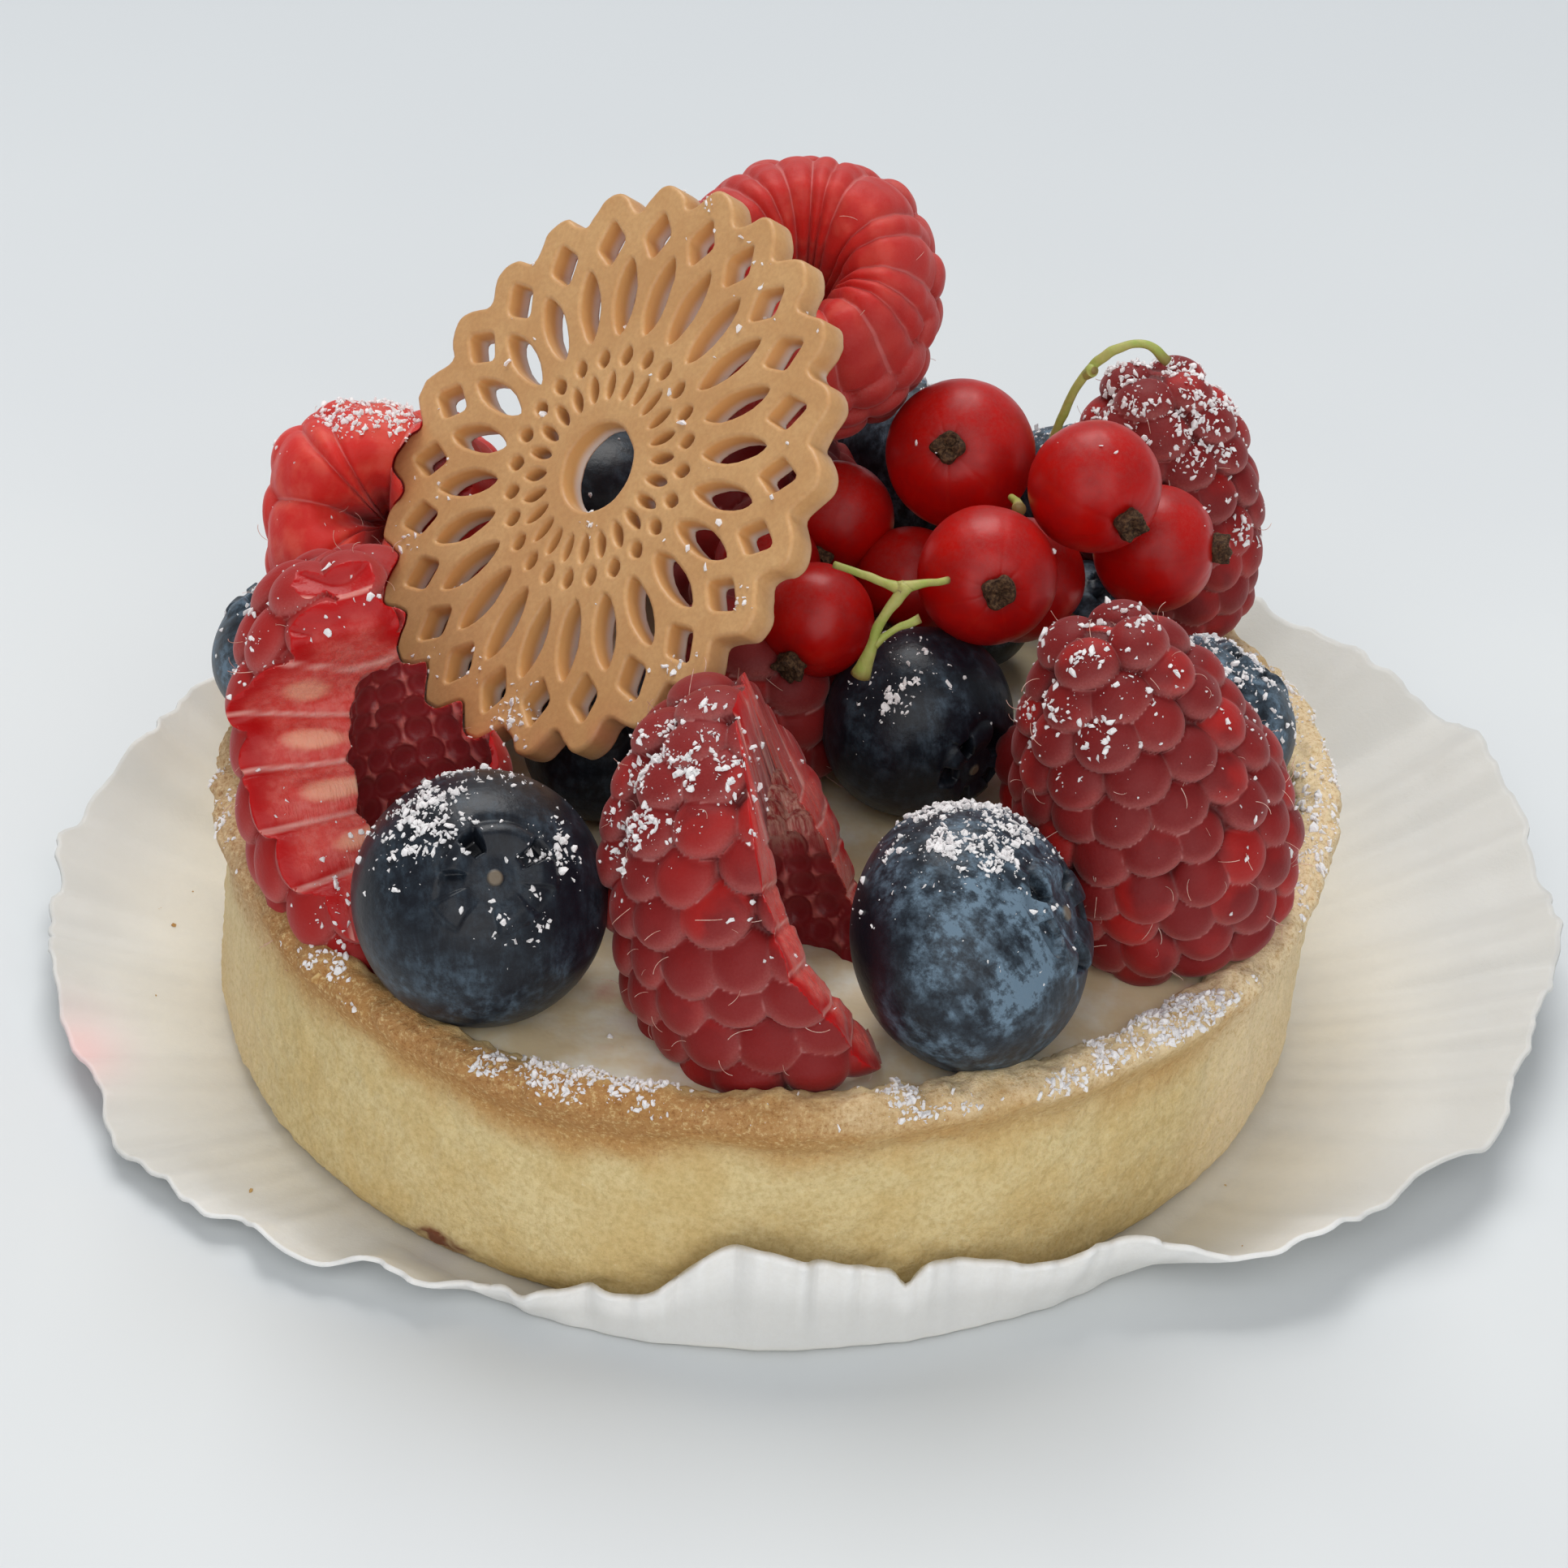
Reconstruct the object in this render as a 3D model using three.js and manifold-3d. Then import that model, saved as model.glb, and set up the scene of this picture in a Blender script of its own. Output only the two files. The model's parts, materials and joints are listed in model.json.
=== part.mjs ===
// A small fruit tart in an opened paper case: a shortcrust shell filled with cream, heaped with
// raspberries, blueberries and a sprig of red currants, with a pierced chocolate disc leaning on the
// fruit. Millimetres, +Z up, front towards -Y. The origin is on the tart's upright axis, at the level
// of the surface that the paper rests on.

import * as THREE from "three";
import { mergeVertices } from "three/addons/utils/BufferGeometryUtils.js";
import Module from "manifold-3d";

const wasm = await Module();
wasm.setup();

// ---- Driving dimensions ----

const GAP = 0.3; // left between pieces that touch

const PAPER_THICKNESS = 0.35;
const PAPER_FLAT_RADIUS = 35;
const PLEATS = 28;
const WALL_STEPS = 3; // rows of facets from the foot of the paper's wall to its edge
const PLEAT_DEPTH = 0.4;

const RIM_RADIUS = 40; // the widest part of the crust's lip
const WALL_RADIUS = 38.7;
const WALL_THICKNESS = 2.7;
const TART_HEIGHT = 19; // of the lip, above the surface that the paper rests on
const CRUST_FLOOR = 3.4;
const CRUST_UNEVEN = 0.35;
const CRUST_SEGMENTS = 38;
const FOOT_SHIFT = [-1.1, -1.1]; // of the crust's foot, off the middle of its lip
const CREAM_SEGMENTS = 28;
const CREAM_DROP = 1.8; // the cream's surface below the lip

const DISC_RADIUS = 20.7; // to the tips of the petals
const DISC_THICKNESS = 2.2;
const DISC_PETALS = 24;
const NOTCH_RADIUS = 18.7;
const DISC_HOLE_RADIUS = 3.2;
const DISC_CENTRE = [-12.7, 2.9, 40.4];
const DISC_NORMAL = [-0.65, -0.45, 0.61];
const DISC_TURN = 1.2; // degrees, of the petals about the disc's own normal

const FINE_FROM = 6.8; // millimetres of radius, above which a blueberry gets finer facets
const CALYX_RADIUS = 1.1;
const CALYX_HEIGHT = 0.9;
const STEM_RADIUS = 0.42;
const CAVITY_SHARE = 0.46; // of a hollow raspberry's radius
const DRUPELET_SHARE = 0.05; // how far a drupelet stands out, of the raspberry's radius

const CRUST_BASE = PAPER_THICKNESS + GAP;
const CREAM_LEVEL = TART_HEIGHT - CREAM_DROP;

// ---- Materials ----

const material = (color, roughness) => new THREE.MeshStandardMaterial({ color, roughness, metalness: 0 });
const PAPER = material(0xe9e8e4, 0.75);
const CRUST = material(0xcbb27e, 0.9);
const CREAM = material(0xdcd2b8, 0.5);
const CHOCOLATE = material(0xcb9d68, 0.55);
const RASPBERRY = material(0xa8222c, 0.6);
const BLUEBERRY = material(0x2b3548, 0.6);
const CURRANT = material(0xa4100f, 0.3);
const STEM = material(0x7f8f4a, 0.7);

// ---- Solids and geometry ----

const vector = (list) => new THREE.Vector3(...list);
const degrees = (value) => THREE.MathUtils.degToRad(value);
const smooth = (share) => share * share * (3 - 2 * share);

// The closed solid of a geometry: shared vertices merged, and faces that shrank to a line left out.
function solidOf(geometry) {
  const bare = geometry.clone();
  bare.deleteAttribute("normal");
  bare.deleteAttribute("uv");
  const merged = mergeVertices(bare, 1e-3);
  const corners = merged.index.array;
  const kept = [];
  for (let i = 0; i < corners.length; i += 3) {
    const [a, b, c] = corners.slice(i, i + 3);
    if (a !== b && b !== c && c !== a) kept.push(a, b, c);
  }
  const mesh = new wasm.Mesh({
    numProp: 3,
    vertProperties: merged.attributes.position.array,
    triVerts: new Uint32Array(kept),
  });
  return new wasm.Manifold(mesh);
}

function geometryOf(solid) {
  const mesh = solid.getMesh();
  const geometry = new THREE.BufferGeometry();
  geometry.setAttribute("position", new THREE.BufferAttribute(mesh.vertProperties, 3));
  geometry.setIndex(new THREE.BufferAttribute(mesh.triVerts, 1));
  return geometry;
}

// A closed skin of rows round an axis; at(row, column) gives each point, and the first and last rows
// are single points.
function skin(rows, columns, at) {
  const points = [];
  const faces = [];
  for (let row = 0; row <= rows; row++) {
    for (let column = 0; column < columns; column++) points.push(...at(row, column));
  }
  for (let row = 0; row < rows; row++) {
    for (let column = 0; column < columns; column++) {
      const next = (column + 1) % columns;
      const [a, b] = [row * columns + column, row * columns + next];
      faces.push(a, b, b + columns, a, b + columns, a + columns);
    }
  }
  const geometry = new THREE.BufferGeometry();
  geometry.setAttribute("position", new THREE.Float32BufferAttribute(points, 3));
  geometry.setIndex(faces);
  return geometry;
}

// A profile of [radius, height] pairs turned about the Z axis.
function turned(profile, segments) {
  const points = profile.map(([radius, height]) => new THREE.Vector2(radius, height));
  return new THREE.LatheGeometry(points, segments).rotateX(Math.PI / 2);
}

// The turn and shift that carry the Z axis onto `axis`, from the point `at`.
function placing(at, axis) {
  const turn = new THREE.Quaternion().setFromUnitVectors(
    new THREE.Vector3(0, 0, 1),
    vector(axis).normalize(),
  );
  return new THREE.Matrix4().compose(vector(at), turn, new THREE.Vector3(1, 1, 1));
}

// Everything on the side of a plane that its normal points to.
function halfSpace(point, normal) {
  const size = 80;
  const block = new THREE.BoxGeometry(size, size, size).translate(0, 0, size / 2);
  return solidOf(block.applyMatrix4(placing(point, normal)));
}

// ---- Paper case ----

// Round the tart, by angle in degrees: the radius where the paper leaves the flat, and the radius and
// height of its edge. It stands up against the front of the crust and lies open at the sides.
const PAPER_EDGE = [
  [-90, 41.2, 40.8, 8.4],
  [-76, 40.8, 41.2, 6.4],
  [-60, 40.4, 42.4, 6],
  [-40, 39, 49.5, 4.6],
  [-20, 38.4, 55, 5],
  [0, 38.2, 57, 5.5],
  [25, 38.2, 58, 7.5],
  [50, 38.4, 54, 9],
  [90, 39, 46, 11],
  [130, 38.6, 46, 10],
  [160, 38.2, 50.5, 6.5],
  [180, 38.6, 52.5, 4],
  [205, 39.6, 51, 2.4],
  [225, 40.2, 48, 2],
  [243, 40.6, 44.5, 2.4],
  [256, 41.2, 41.6, 3.8],
  [270, 41.2, 40.8, 8.4],
];

function paperEdge(angle) {
  const next = PAPER_EDGE.findIndex(([limit]) => angle < limit);
  const [from, to] = [PAPER_EDGE[next - 1], PAPER_EDGE[next]];
  const share = smooth((angle - from[0]) / (to[0] - from[0]));
  const [foot, radius, height] = [1, 2, 3].map((i) => from[i] + share * (to[i] - from[i]));
  const turn = degrees(angle);
  return {
    foot,
    radius: radius + 0.5 * Math.sin(7 * turn) + 0.3 * Math.sin(17 * turn + 1),
    height: height + 0.35 * Math.sin(9 * turn + 2) + 0.25 * Math.sin(23 * turn),
  };
}

function paperCase() {
  const columns = 2 * PLEATS;
  const curl = 1.3; // how late the wall turns up
  const edgeStep = 2 + WALL_STEPS;

  // A point of the sheet's underside, in steps from its middle out to its edge.
  const point = (step, column) => {
    const angle = -90 + (360 * column) / columns;
    const edge = paperEdge(angle);
    const share = Math.max(0, step - 2) / WALL_STEPS;
    const steep = Math.min(1, edge.height / (Math.abs(edge.radius - edge.foot) + 1));
    const pleat = (column % 2 ? 1 : -1) * PLEAT_DEPTH * share;
    const wall = edge.foot + (edge.radius - edge.foot) * share + pleat * steep;
    const radius = [0, PAPER_FLAT_RADIUS][step] ?? wall;
    const height = edge.height * share ** curl + pleat * (1 - steep) + Math.abs(pleat);
    return [radius * Math.cos(degrees(angle)), radius * Math.sin(degrees(angle)), height];
  };

  return skin(2 * edgeStep + 1, columns, (row, column) => {
    if (row <= edgeStep) return point(row, column);
    const [x, y, z] = point(2 * edgeStep + 1 - row, column);
    return [x, y, z + PAPER_THICKNESS];
  });
}

// ---- Crust and cream ----

// The crust and its cream lean a little: their foot lies off the middle of the lip.
function leaning(geometry) {
  const position = geometry.attributes.position;
  for (let i = 0; i < position.count; i++) {
    const share = 1 - position.getZ(i) / TART_HEIGHT;
    position.setX(i, position.getX(i) + FOOT_SHIFT[0] * share);
    position.setY(i, position.getY(i) + FOOT_SHIFT[1] * share);
  }
  return geometry;
}

function crust() {
  const inner = WALL_RADIUS - WALL_THICKNESS;
  const profile = [
    [0, CRUST_BASE],
    [WALL_RADIUS - 1, CRUST_BASE],
    [WALL_RADIUS, CRUST_BASE + 1.6],
    [WALL_RADIUS, TART_HEIGHT - 4],
    [RIM_RADIUS - 0.5, TART_HEIGHT - 2.6],
    [RIM_RADIUS, TART_HEIGHT - 1.4],
    [RIM_RADIUS - 0.5, TART_HEIGHT - 0.4],
    [RIM_RADIUS - 1.6, TART_HEIGHT],
    [inner + 0.8, TART_HEIGHT - 0.5],
    [inner, TART_HEIGHT - 2.4],
    [inner, CRUST_FLOOR + 1.2],
    [inner - 1.2, CRUST_FLOOR],
    [0, CRUST_FLOOR],
  ];
  const geometry = turned(profile, CRUST_SEGMENTS);
  const position = geometry.attributes.position;
  for (let i = 0; i < position.count; i++) {
    const [x, y, z] = [position.getX(i), position.getY(i), position.getZ(i)];
    const radius = Math.hypot(x, y);
    if (radius < inner) continue;
    const turn = Math.atan2(y, x);
    const lip = smooth(THREE.MathUtils.clamp((z - TART_HEIGHT / 2) / 8, 0, 1));
    const uneven = 0.5 * Math.sin(3 * turn + 1) + 0.3 * Math.sin(8 * turn) + 0.2 * Math.sin(13 * turn + 2);
    const wide = 1 + (CRUST_UNEVEN * uneven * lip) / radius;
    position.setXYZ(i, x * wide, y * wide, z + CRUST_UNEVEN * lip * Math.sin(5 * turn + 2));
  }
  return solidOf(leaning(geometry));
}

function cream() {
  const radius = WALL_RADIUS - WALL_THICKNESS - GAP - CRUST_UNEVEN;
  const floor = CRUST_FLOOR + GAP;
  const profile = [
    [0, floor],
    [radius - 1.5, floor],
    [radius, floor + 1.5],
    [radius, CREAM_LEVEL - 0.2],
    [radius - 2, CREAM_LEVEL - 0.6],
    [0, CREAM_LEVEL],
  ];
  return solidOf(leaning(turned(profile, CREAM_SEGMENTS)));
}

// ---- Chocolate disc ----

const onDisc = (radius, turn) => new THREE.Vector2(radius * Math.cos(turn), radius * Math.sin(turn));

// An opening between two radii, pointed at both ends and widest in the middle; `bow` rounds its sides.
function opening(turn, inner, outer, halfWidth, bow) {
  const middle = (inner + outer) / 2;
  const shares = bow ? [-0.3, 0.3] : [0]; // along its length, from its middle
  const side = (sign) =>
    shares.map((share) => {
      const radius = middle + sign * share * (outer - inner);
      const width = halfWidth * sign;
      return onDisc(radius, turn).add(onDisc(width, turn + Math.PI / 2));
    });
  return [onDisc(inner, turn), ...side(1), onDisc(outer, turn), ...side(-1)];
}

function discOutline() {
  const steps = 4;
  const pitch = (2 * Math.PI) / DISC_PETALS;
  return Array.from({ length: DISC_PETALS * steps }, (_, i) => {
    const share = (i % steps) / steps - 0.5; // across one petal, from notch to notch
    const rise = 1 - Math.abs(2 * share) ** 1.6;
    return onDisc(NOTCH_RADIUS + (DISC_RADIUS - NOTCH_RADIUS) * rise, (i / steps - 0.5) * pitch);
  });
}

function laceDisc() {
  const shape = new THREE.Shape(discOutline());
  const pitch = (2 * Math.PI) / DISC_PETALS;
  shape.holes.push(new THREE.Path().absarc(0, 0, DISC_HOLE_RADIUS, 0, 2 * Math.PI, true));
  for (let i = 0; i < DISC_PETALS; i++) {
    const [petal, between] = [i * pitch, (i + 0.5) * pitch];
    shape.holes.push(new THREE.Path(opening(petal, 15.2, 18.8, 1.1, false)));
    shape.holes.push(new THREE.Path(opening(between, 9.8, 15.3, 0.8, true)));
    shape.holes.push(new THREE.Path(opening(petal, 7.5, 8.7, 0.4, false)));
    shape.holes.push(new THREE.Path(opening(between, 4.9, 7, 0.38, false)));
  }
  const options = { depth: DISC_THICKNESS, bevelEnabled: false, curveSegments: 7 };
  const geometry = new THREE.ExtrudeGeometry(shape, options);
  geometry.translate(0, 0, -DISC_THICKNESS / 2).rotateZ(degrees(DISC_TURN));
  return solidOf(geometry.applyMatrix4(placing(DISC_CENTRE, DISC_NORMAL)));
}

// The room that the disc takes, with the gap round it.
function discRoom() {
  const reach = DISC_RADIUS + GAP;
  const plate = new THREE.CylinderGeometry(reach, reach, DISC_THICKNESS + 2 * GAP, 20);
  plate.rotateX(Math.PI / 2);
  return solidOf(plate.applyMatrix4(placing(DISC_CENTRE, DISC_NORMAL)));
}

// ---- Blueberries ----

// A berry a little flatter than a ball, with a five-pointed crown round a dimple at its far end.
function blueberry({ at, axis, radius, flat = 0.86 }, grow = 0) {
  if (grow) return blueberryRoom(at, axis, radius + grow, flat);
  const fine = radius > FINE_FROM;
  const columns = fine ? 15 : 10;
  const angles = fine ? [-90, -60, -32, -6, 20, 44] : [-90, -50, -14, 20];
  const profile = angles
    .map(degrees)
    .map((turn) => [radius * Math.cos(turn), radius * flat * Math.sin(turn)]);
  const [shoulder, rim, pit] = [0.9, 1.02, 0.8]; // heights of the crown's foot, points and floor
  profile.push([0.46 * radius, shoulder * radius * flat]);
  profile.push([0.4 * radius, rim * radius * flat]);
  profile.push([0, pit * radius * flat]);
  const crownRow = profile.length - 2;
  const geometry = skin(profile.length - 1, columns, (row, column) => {
    const [reach, height] = profile[row];
    const notched = row === crownRow && column % (columns / 5) === 0;
    const turn = (2 * Math.PI * column) / columns;
    const out = reach * (notched ? 0.86 : 1);
    return [out * Math.cos(turn), out * Math.sin(turn), height * (notched ? 0.94 : 1)];
  });
  return solidOf(geometry.applyMatrix4(placing(at, axis)));
}

// A plain ball whose flat faces clear the berry inside it.
function blueberryRoom(at, axis, radius, flat) {
  const ball = new THREE.SphereGeometry(radius * 1.05, 12, 8);
  ball.rotateX(Math.PI / 2).scale(1, 1, flat + 0.03);
  return solidOf(ball.applyMatrix4(placing(at, axis)));
}

const BLUEBERRIES = {
  blueberry_front_left: { at: [-19, -25.3, 24.3], axis: [0.3, -0.3, 0.9], radius: 8.5, flat: 0.94 },
  blueberry_front_right: { at: [13.2, -27.6, 24.8], axis: [0.86, -0.42, 0.3], radius: 8.9, flat: 0.84 },
  blueberry_centre: { at: [9.8, -1.5, 23.9], axis: [0.62, -0.75, 0.2], radius: 6.9, flat: 0.92 },
  blueberry_right: { at: [30.2, 1.2, 23.5], axis: [0.55, 0.4, 0.75], radius: 6.5, flat: 0.86 },
  blueberry_left: { at: [-33.5, 3, 24.6], axis: [-0.6, 0.3, 0.7], radius: 6.2 },
  blueberry_under_disc: { at: [-12, -4, 22.7], axis: [-0.2, -0.5, 0.8], radius: 5.8, flat: 0.92 },
  blueberry_back_left: { at: [-14.5, 25.5, 24], axis: [-0.4, 0.4, 0.8], radius: 6.7 },
  blueberry_back: { at: [9, 29.5, 26.2], axis: [0.1, 0.6, 0.8], radius: 7.4 },
  blueberry_back_right: { at: [20.8, 27, 26.3], axis: [0.3, 0.6, 0.7], radius: 5.4 },
  blueberry_inner_right: { at: [22.6, 13, 23.8], axis: [0.3, -0.2, 0.9], radius: 4.5 },
  blueberry_inner_left: { at: [-19, 8, 22.4], axis: [-0.3, 0.1, 0.9], radius: 5.4 },
  blueberry_inner_back: { at: [13.5, 16, 21.8], axis: [0.2, 0.3, 0.9], radius: 4.7 },
};

// ---- Raspberries ----

// Radius along a berry, as a share of its widest, from its open end (0) to its tip (1).
function raspberryShare(along) {
  const widest = 0.36;
  const open = 0.82;
  if (along < widest) return open + (1 - open) * Math.sin((Math.PI / 2) * (along / widest));
  return Math.sqrt(Math.max(0, 1 - ((along - widest) / (1 - widest)) ** 2.3));
}

// The outer form: `tiers` rows of `round` drupelets, each a low peak between its neighbours.
function raspberryBody({ base, tip, radius, spread = 1, tiers = 6, round = 10 }) {
  const length = vector(tip).distanceTo(vector(base));
  const bump = DRUPELET_SHARE * radius;
  const rows = 2 * tiers + 2;
  const geometry = skin(rows, 2 * round, (row, column) => {
    if (row === 0) return [0, 0, 0];
    if (row === rows) return [0, 0, length];
    const along = (row - 1) / (rows - 1);
    const peak = row % 2 === 0 && (column + row / 2) % 2 === 0;
    const reach = radius * raspberryShare(along) + (peak ? bump : -0.5 * bump);
    const turn = (Math.PI * column) / round;
    return [reach * Math.cos(turn), spread * reach * Math.sin(turn), length * along];
  });
  return solidOf(geometry.applyMatrix4(placing(base, vector(tip).sub(vector(base)).toArray())));
}

// The room of the outer form: a plainer one whose flat faces clear it.
function raspberryRoom({ base, tip, radius, spread = 1 }, grow) {
  const [rows, columns] = [8, 12];
  const length = vector(tip).distanceTo(vector(base)) + 2 * grow;
  const clear = (1.03 * (radius * (1 + DRUPELET_SHARE) + grow)) / Math.cos(Math.PI / columns);
  const geometry = skin(rows, columns, (row, column) => {
    if (row === 0) return [0, 0, -grow];
    if (row === rows) return [0, 0, length - grow];
    const along = (row - 1) / (rows - 1);
    const reach = clear * raspberryShare(0.97 * along);
    const turn = (2 * Math.PI * column) / columns;
    return [reach * Math.cos(turn), spread * reach * Math.sin(turn), length * along - grow];
  });
  return solidOf(geometry.applyMatrix4(placing(base, vector(tip).sub(vector(base)).toArray())));
}

function raspberryCavity({ base, tip, radius, spread = 1 }) {
  const axis = vector(tip).sub(vector(base));
  const depth = 0.72 * axis.length();
  const wide = CAVITY_SHARE * radius;
  const profile = [
    [0, -3],
    [wide * 1.1, -3],
    [wide * 1.1, 0.5],
    [wide, 0.3 * depth],
    [wide * 0.75, 0.75 * depth],
    [wide * 0.3, depth],
    [0, depth],
  ];
  const geometry = turned(profile, 10).scale(1, spread, 1);
  return solidOf(geometry.applyMatrix4(placing(base, axis.toArray())));
}

function raspberry(berry, grow = 0) {
  let body = grow ? raspberryRoom(berry, grow) : raspberryBody(berry);
  if (berry.hollow && !grow) body = body.subtract(raspberryCavity(berry));
  if (!berry.cut) return body;
  const normal = vector(berry.cut.normal).normalize();
  const point = vector(berry.cut.point).addScaledVector(normal, grow);
  return body.subtract(halfSpace(point.toArray(), berry.cut.normal));
}

const RASPBERRIES = {
  raspberry_front_cut: {
    base: [2.8, -28, 15.4],
    tip: [-3.2, -18.6, 40],
    radius: 11.3,
    round: 11,
    hollow: true,
    cut: { point: [6.9, -25.8, 18.1], normal: [0.91, 0.11, 0.4] },
  },
  raspberry_right: { base: [28.2, -14.8, 18.4], tip: [21.2, -14.8, 41.8], radius: 9.3, tiers: 7, round: 11 },
  raspberry_top: { base: [0.9, 15.7, 50.1], tip: [0.7, 27.6, 35.6], radius: 9.7, hollow: true },
  raspberry_left_cut: {
    base: [-27.2, -18.4, 15.4],
    tip: [-30.6, -7.4, 39.8],
    radius: 9.7,
    hollow: true,
    cut: { point: [-28, -12.2, 30], normal: [0.72, -0.55, 0.42] },
  },
  raspberry_back_left_cut: {
    base: [-29.5, 16, 20],
    tip: [-30, 17, 38],
    radius: 9,
    tiers: 5,
    hollow: true,
    cut: { point: [-29, 15.5, 30], normal: [0.75, -0.6, 0.3] },
  },
  raspberry_back_right: { base: [28, 20.4, 20.4], tip: [26.2, 22.4, 39.6], radius: 7.2, tiers: 5, round: 8 },
  raspberry_under_top: { base: [-2, 28.5, 24.6], tip: [-2, 11, 25], radius: 7.8, tiers: 4, round: 7 },
  raspberry_inner_right: { base: [24, -1.8, 21.6], tip: [16.6, -6.8, 22], radius: 4.6, tiers: 3, round: 6 },
  raspberry_middle: { base: [-2, 2.5, 18.2], tip: [-2, 1.6, 30.5], radius: 6.6, tiers: 3, round: 7 },
};

// ---- Red currants ----

// A round berry with the dried tuft of its flower at one end.
function currant({ at, axis, radius }, grow = 0) {
  const ball = new THREE.SphereGeometry(radius + grow, 8, 7).rotateX(Math.PI / 2);
  const body = solidOf(ball.applyMatrix4(placing(at, axis)));
  const [wide, narrow] = [CALYX_RADIUS + grow, 0.7 * CALYX_RADIUS + grow];
  const tuft = new THREE.CylinderGeometry(wide, narrow, CALYX_HEIGHT + 0.6 + 2 * grow, 5);
  tuft.rotateX(Math.PI / 2).translate(0, 0, radius + CALYX_HEIGHT / 2 - 0.3);
  return body.add(solidOf(tuft.applyMatrix4(placing(at, axis))));
}

const CURRANTS = {
  currant_1: { at: [12, 15, 36], axis: [-0.2, -0.8, 0.56], radius: 5.4 },
  currant_2: { at: [21.2, 7, 38.6], axis: [0.5, -0.85, -0.1], radius: 4.7 },
  currant_3: { at: [14, 2, 34], axis: [0.12, -0.93, 0.33], radius: 4.9 },
  currant_4: { at: [26.2, 10.5, 31.6], axis: [0.98, -0.1, 0.1], radius: 4.6 },
  currant_5: { at: [16.8, 9.6, 29], axis: [0.7, -0.3, -0.6], radius: 4.6 },
  currant_6: { at: [3.4, 13.6, 31], axis: [-0.3, -0.9, -0.3], radius: 4.2 },
  currant_7: { at: [9, 10.2, 28], axis: [-0.5, -0.6, -0.6], radius: 4.1 },
  currant_8: { at: [2.2, 0.2, 30.8], axis: [-0.4, -0.8, -0.4], radius: 4.1 },
  currant_9: { at: [-1.4, 8.2, 30], axis: [-0.7, -0.6, -0.4], radius: 3.8 },
};

// ---- Currant stems ----

function twig({ points, steps, radius = STEM_RADIUS }) {
  const path = new THREE.CatmullRomCurve3(points.map(vector));
  const corners = Array.from({ length: 5 }, (_, i) => onDisc(radius, (i * 2 * Math.PI) / 5));
  const section = new THREE.Shape(corners);
  return solidOf(new THREE.ExtrudeGeometry(section, { steps, bevelEnabled: false, extrudePath: path }));
}

// Each twig's points, radius and number of steps: the forked stem in front of the currants, its foot
// on the blueberry below; the short stalk between the first two currants; and the arched stem behind.
const STEMS = {
  stem_front: [
    { points: [[3.2, -3.2, 37.6], [6.2, -4.6, 37.4], [8, -5.6, 37.2]], steps: 3 },
    { points: [[7.6, -5.4, 37.3], [9.4, -4.8, 37.4], [11, -3.6, 37]], steps: 3 },
    { points: [[8.2, -5.4, 37.6], [6.6, -6.2, 35.2], [6, -6.6, 33.2], [5.4, -6.8, 31]], steps: 5, radius: 0.5 },
    { points: [[6.2, -6.6, 33.4], [7.6, -6, 34.4], [9.2, -5.4, 35]], steps: 3, radius: 0.35 },
  ],
  stem_middle: [{ points: [[15.6, 9, 36.2], [15.9, 7.4, 36.8], [16, 5.6, 37.3]], steps: 3 }],
  stem_back: [
    {
      points: [
        [18.6, 17.6, 35],
        [19.1, 17.6, 37.6],
        [20.3, 17.6, 41],
        [22.3, 17.6, 43.5],
        [24.6, 17.6, 44.2],
        [26.4, 17.4, 43],
      ],
      steps: 12,
    },
  ],
};

function stem(twigs) {
  return twigs.map(twig).reduce((all, one) => all.add(one));
}

// ---- The tart ----

// The largest of the bodies that a cut leaves.
function largest(solid) {
  const bodies = solid.decompose();
  return bodies.reduce((best, body) => (body.volume() > best.volume() ? body : best));
}

// Fruit in the order in which it keeps its full form: each piece gives way to those before it.
const FRUIT = [];
const add = (list, make, look) =>
  Object.entries(list).forEach(([name, item]) => {
    FRUIT.push({ name, look, body: make(item), room: make(item, GAP) });
  });

const group = new THREE.Group();

function show(name, solid, look) {
  const mesh = new THREE.Mesh(geometryOf(solid), look);
  mesh.name = name;
  group.add(mesh);
}

const pick = (list, ...names) => Object.fromEntries(names.map((name) => [name, list[name]]));
const rest = (list, taken) => Object.fromEntries(Object.entries(list).filter(([name]) => !(name in taken)));
const firstBlueberries = pick(
  BLUEBERRIES,
  "blueberry_front_left",
  "blueberry_front_right",
  "blueberry_centre",
  "blueberry_right",
);
const firstCurrants = pick(CURRANTS, "currant_1", "currant_2", "currant_3", "currant_4");

add(firstBlueberries, blueberry, BLUEBERRY);
add(firstCurrants, currant, CURRANT);
add(RASPBERRIES, raspberry, RASPBERRY);
add(rest(CURRANTS, firstCurrants), currant, CURRANT);
add(rest(BLUEBERRIES, firstBlueberries), blueberry, BLUEBERRY);

const shell = crust();
const lace = laceDisc();
let rooms = discRoom();
for (const piece of FRUIT) {
  const own = largest(piece.body.subtract(rooms).subtract(shell));
  rooms = rooms.add(piece.room);
  piece.own = own;
}

show("paper_case", solidOf(paperCase()), PAPER);
show("crust", shell, CRUST);
show("cream", largest(cream().subtract(rooms)), CREAM);
show("lace_disc", lace, CHOCOLATE);
FRUIT.forEach(({ name, own, look }) => show(name, own, look));
Object.entries(STEMS).forEach(([name, twigs]) => show(name, largest(stem(twigs).subtract(rooms)), STEM));

export default group;
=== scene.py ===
"""Dresses a packed berry tart: pastry, cream, fruit, lace disc, paper case and icing sugar.

Each piece stands for the plain solid of the same name and stays where that solid is.
Shapes are worked out in millimetres and stored in metres.
"""

import json
import math

import bmesh
import bpy
import numpy as np
from bpy.props import FloatProperty, FloatVectorProperty, IntProperty, PointerProperty
from mathutils import Matrix, Vector
from mathutils.geometry import delaunay_2d_cdt
from mathutils.kdtree import KDTree

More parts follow.
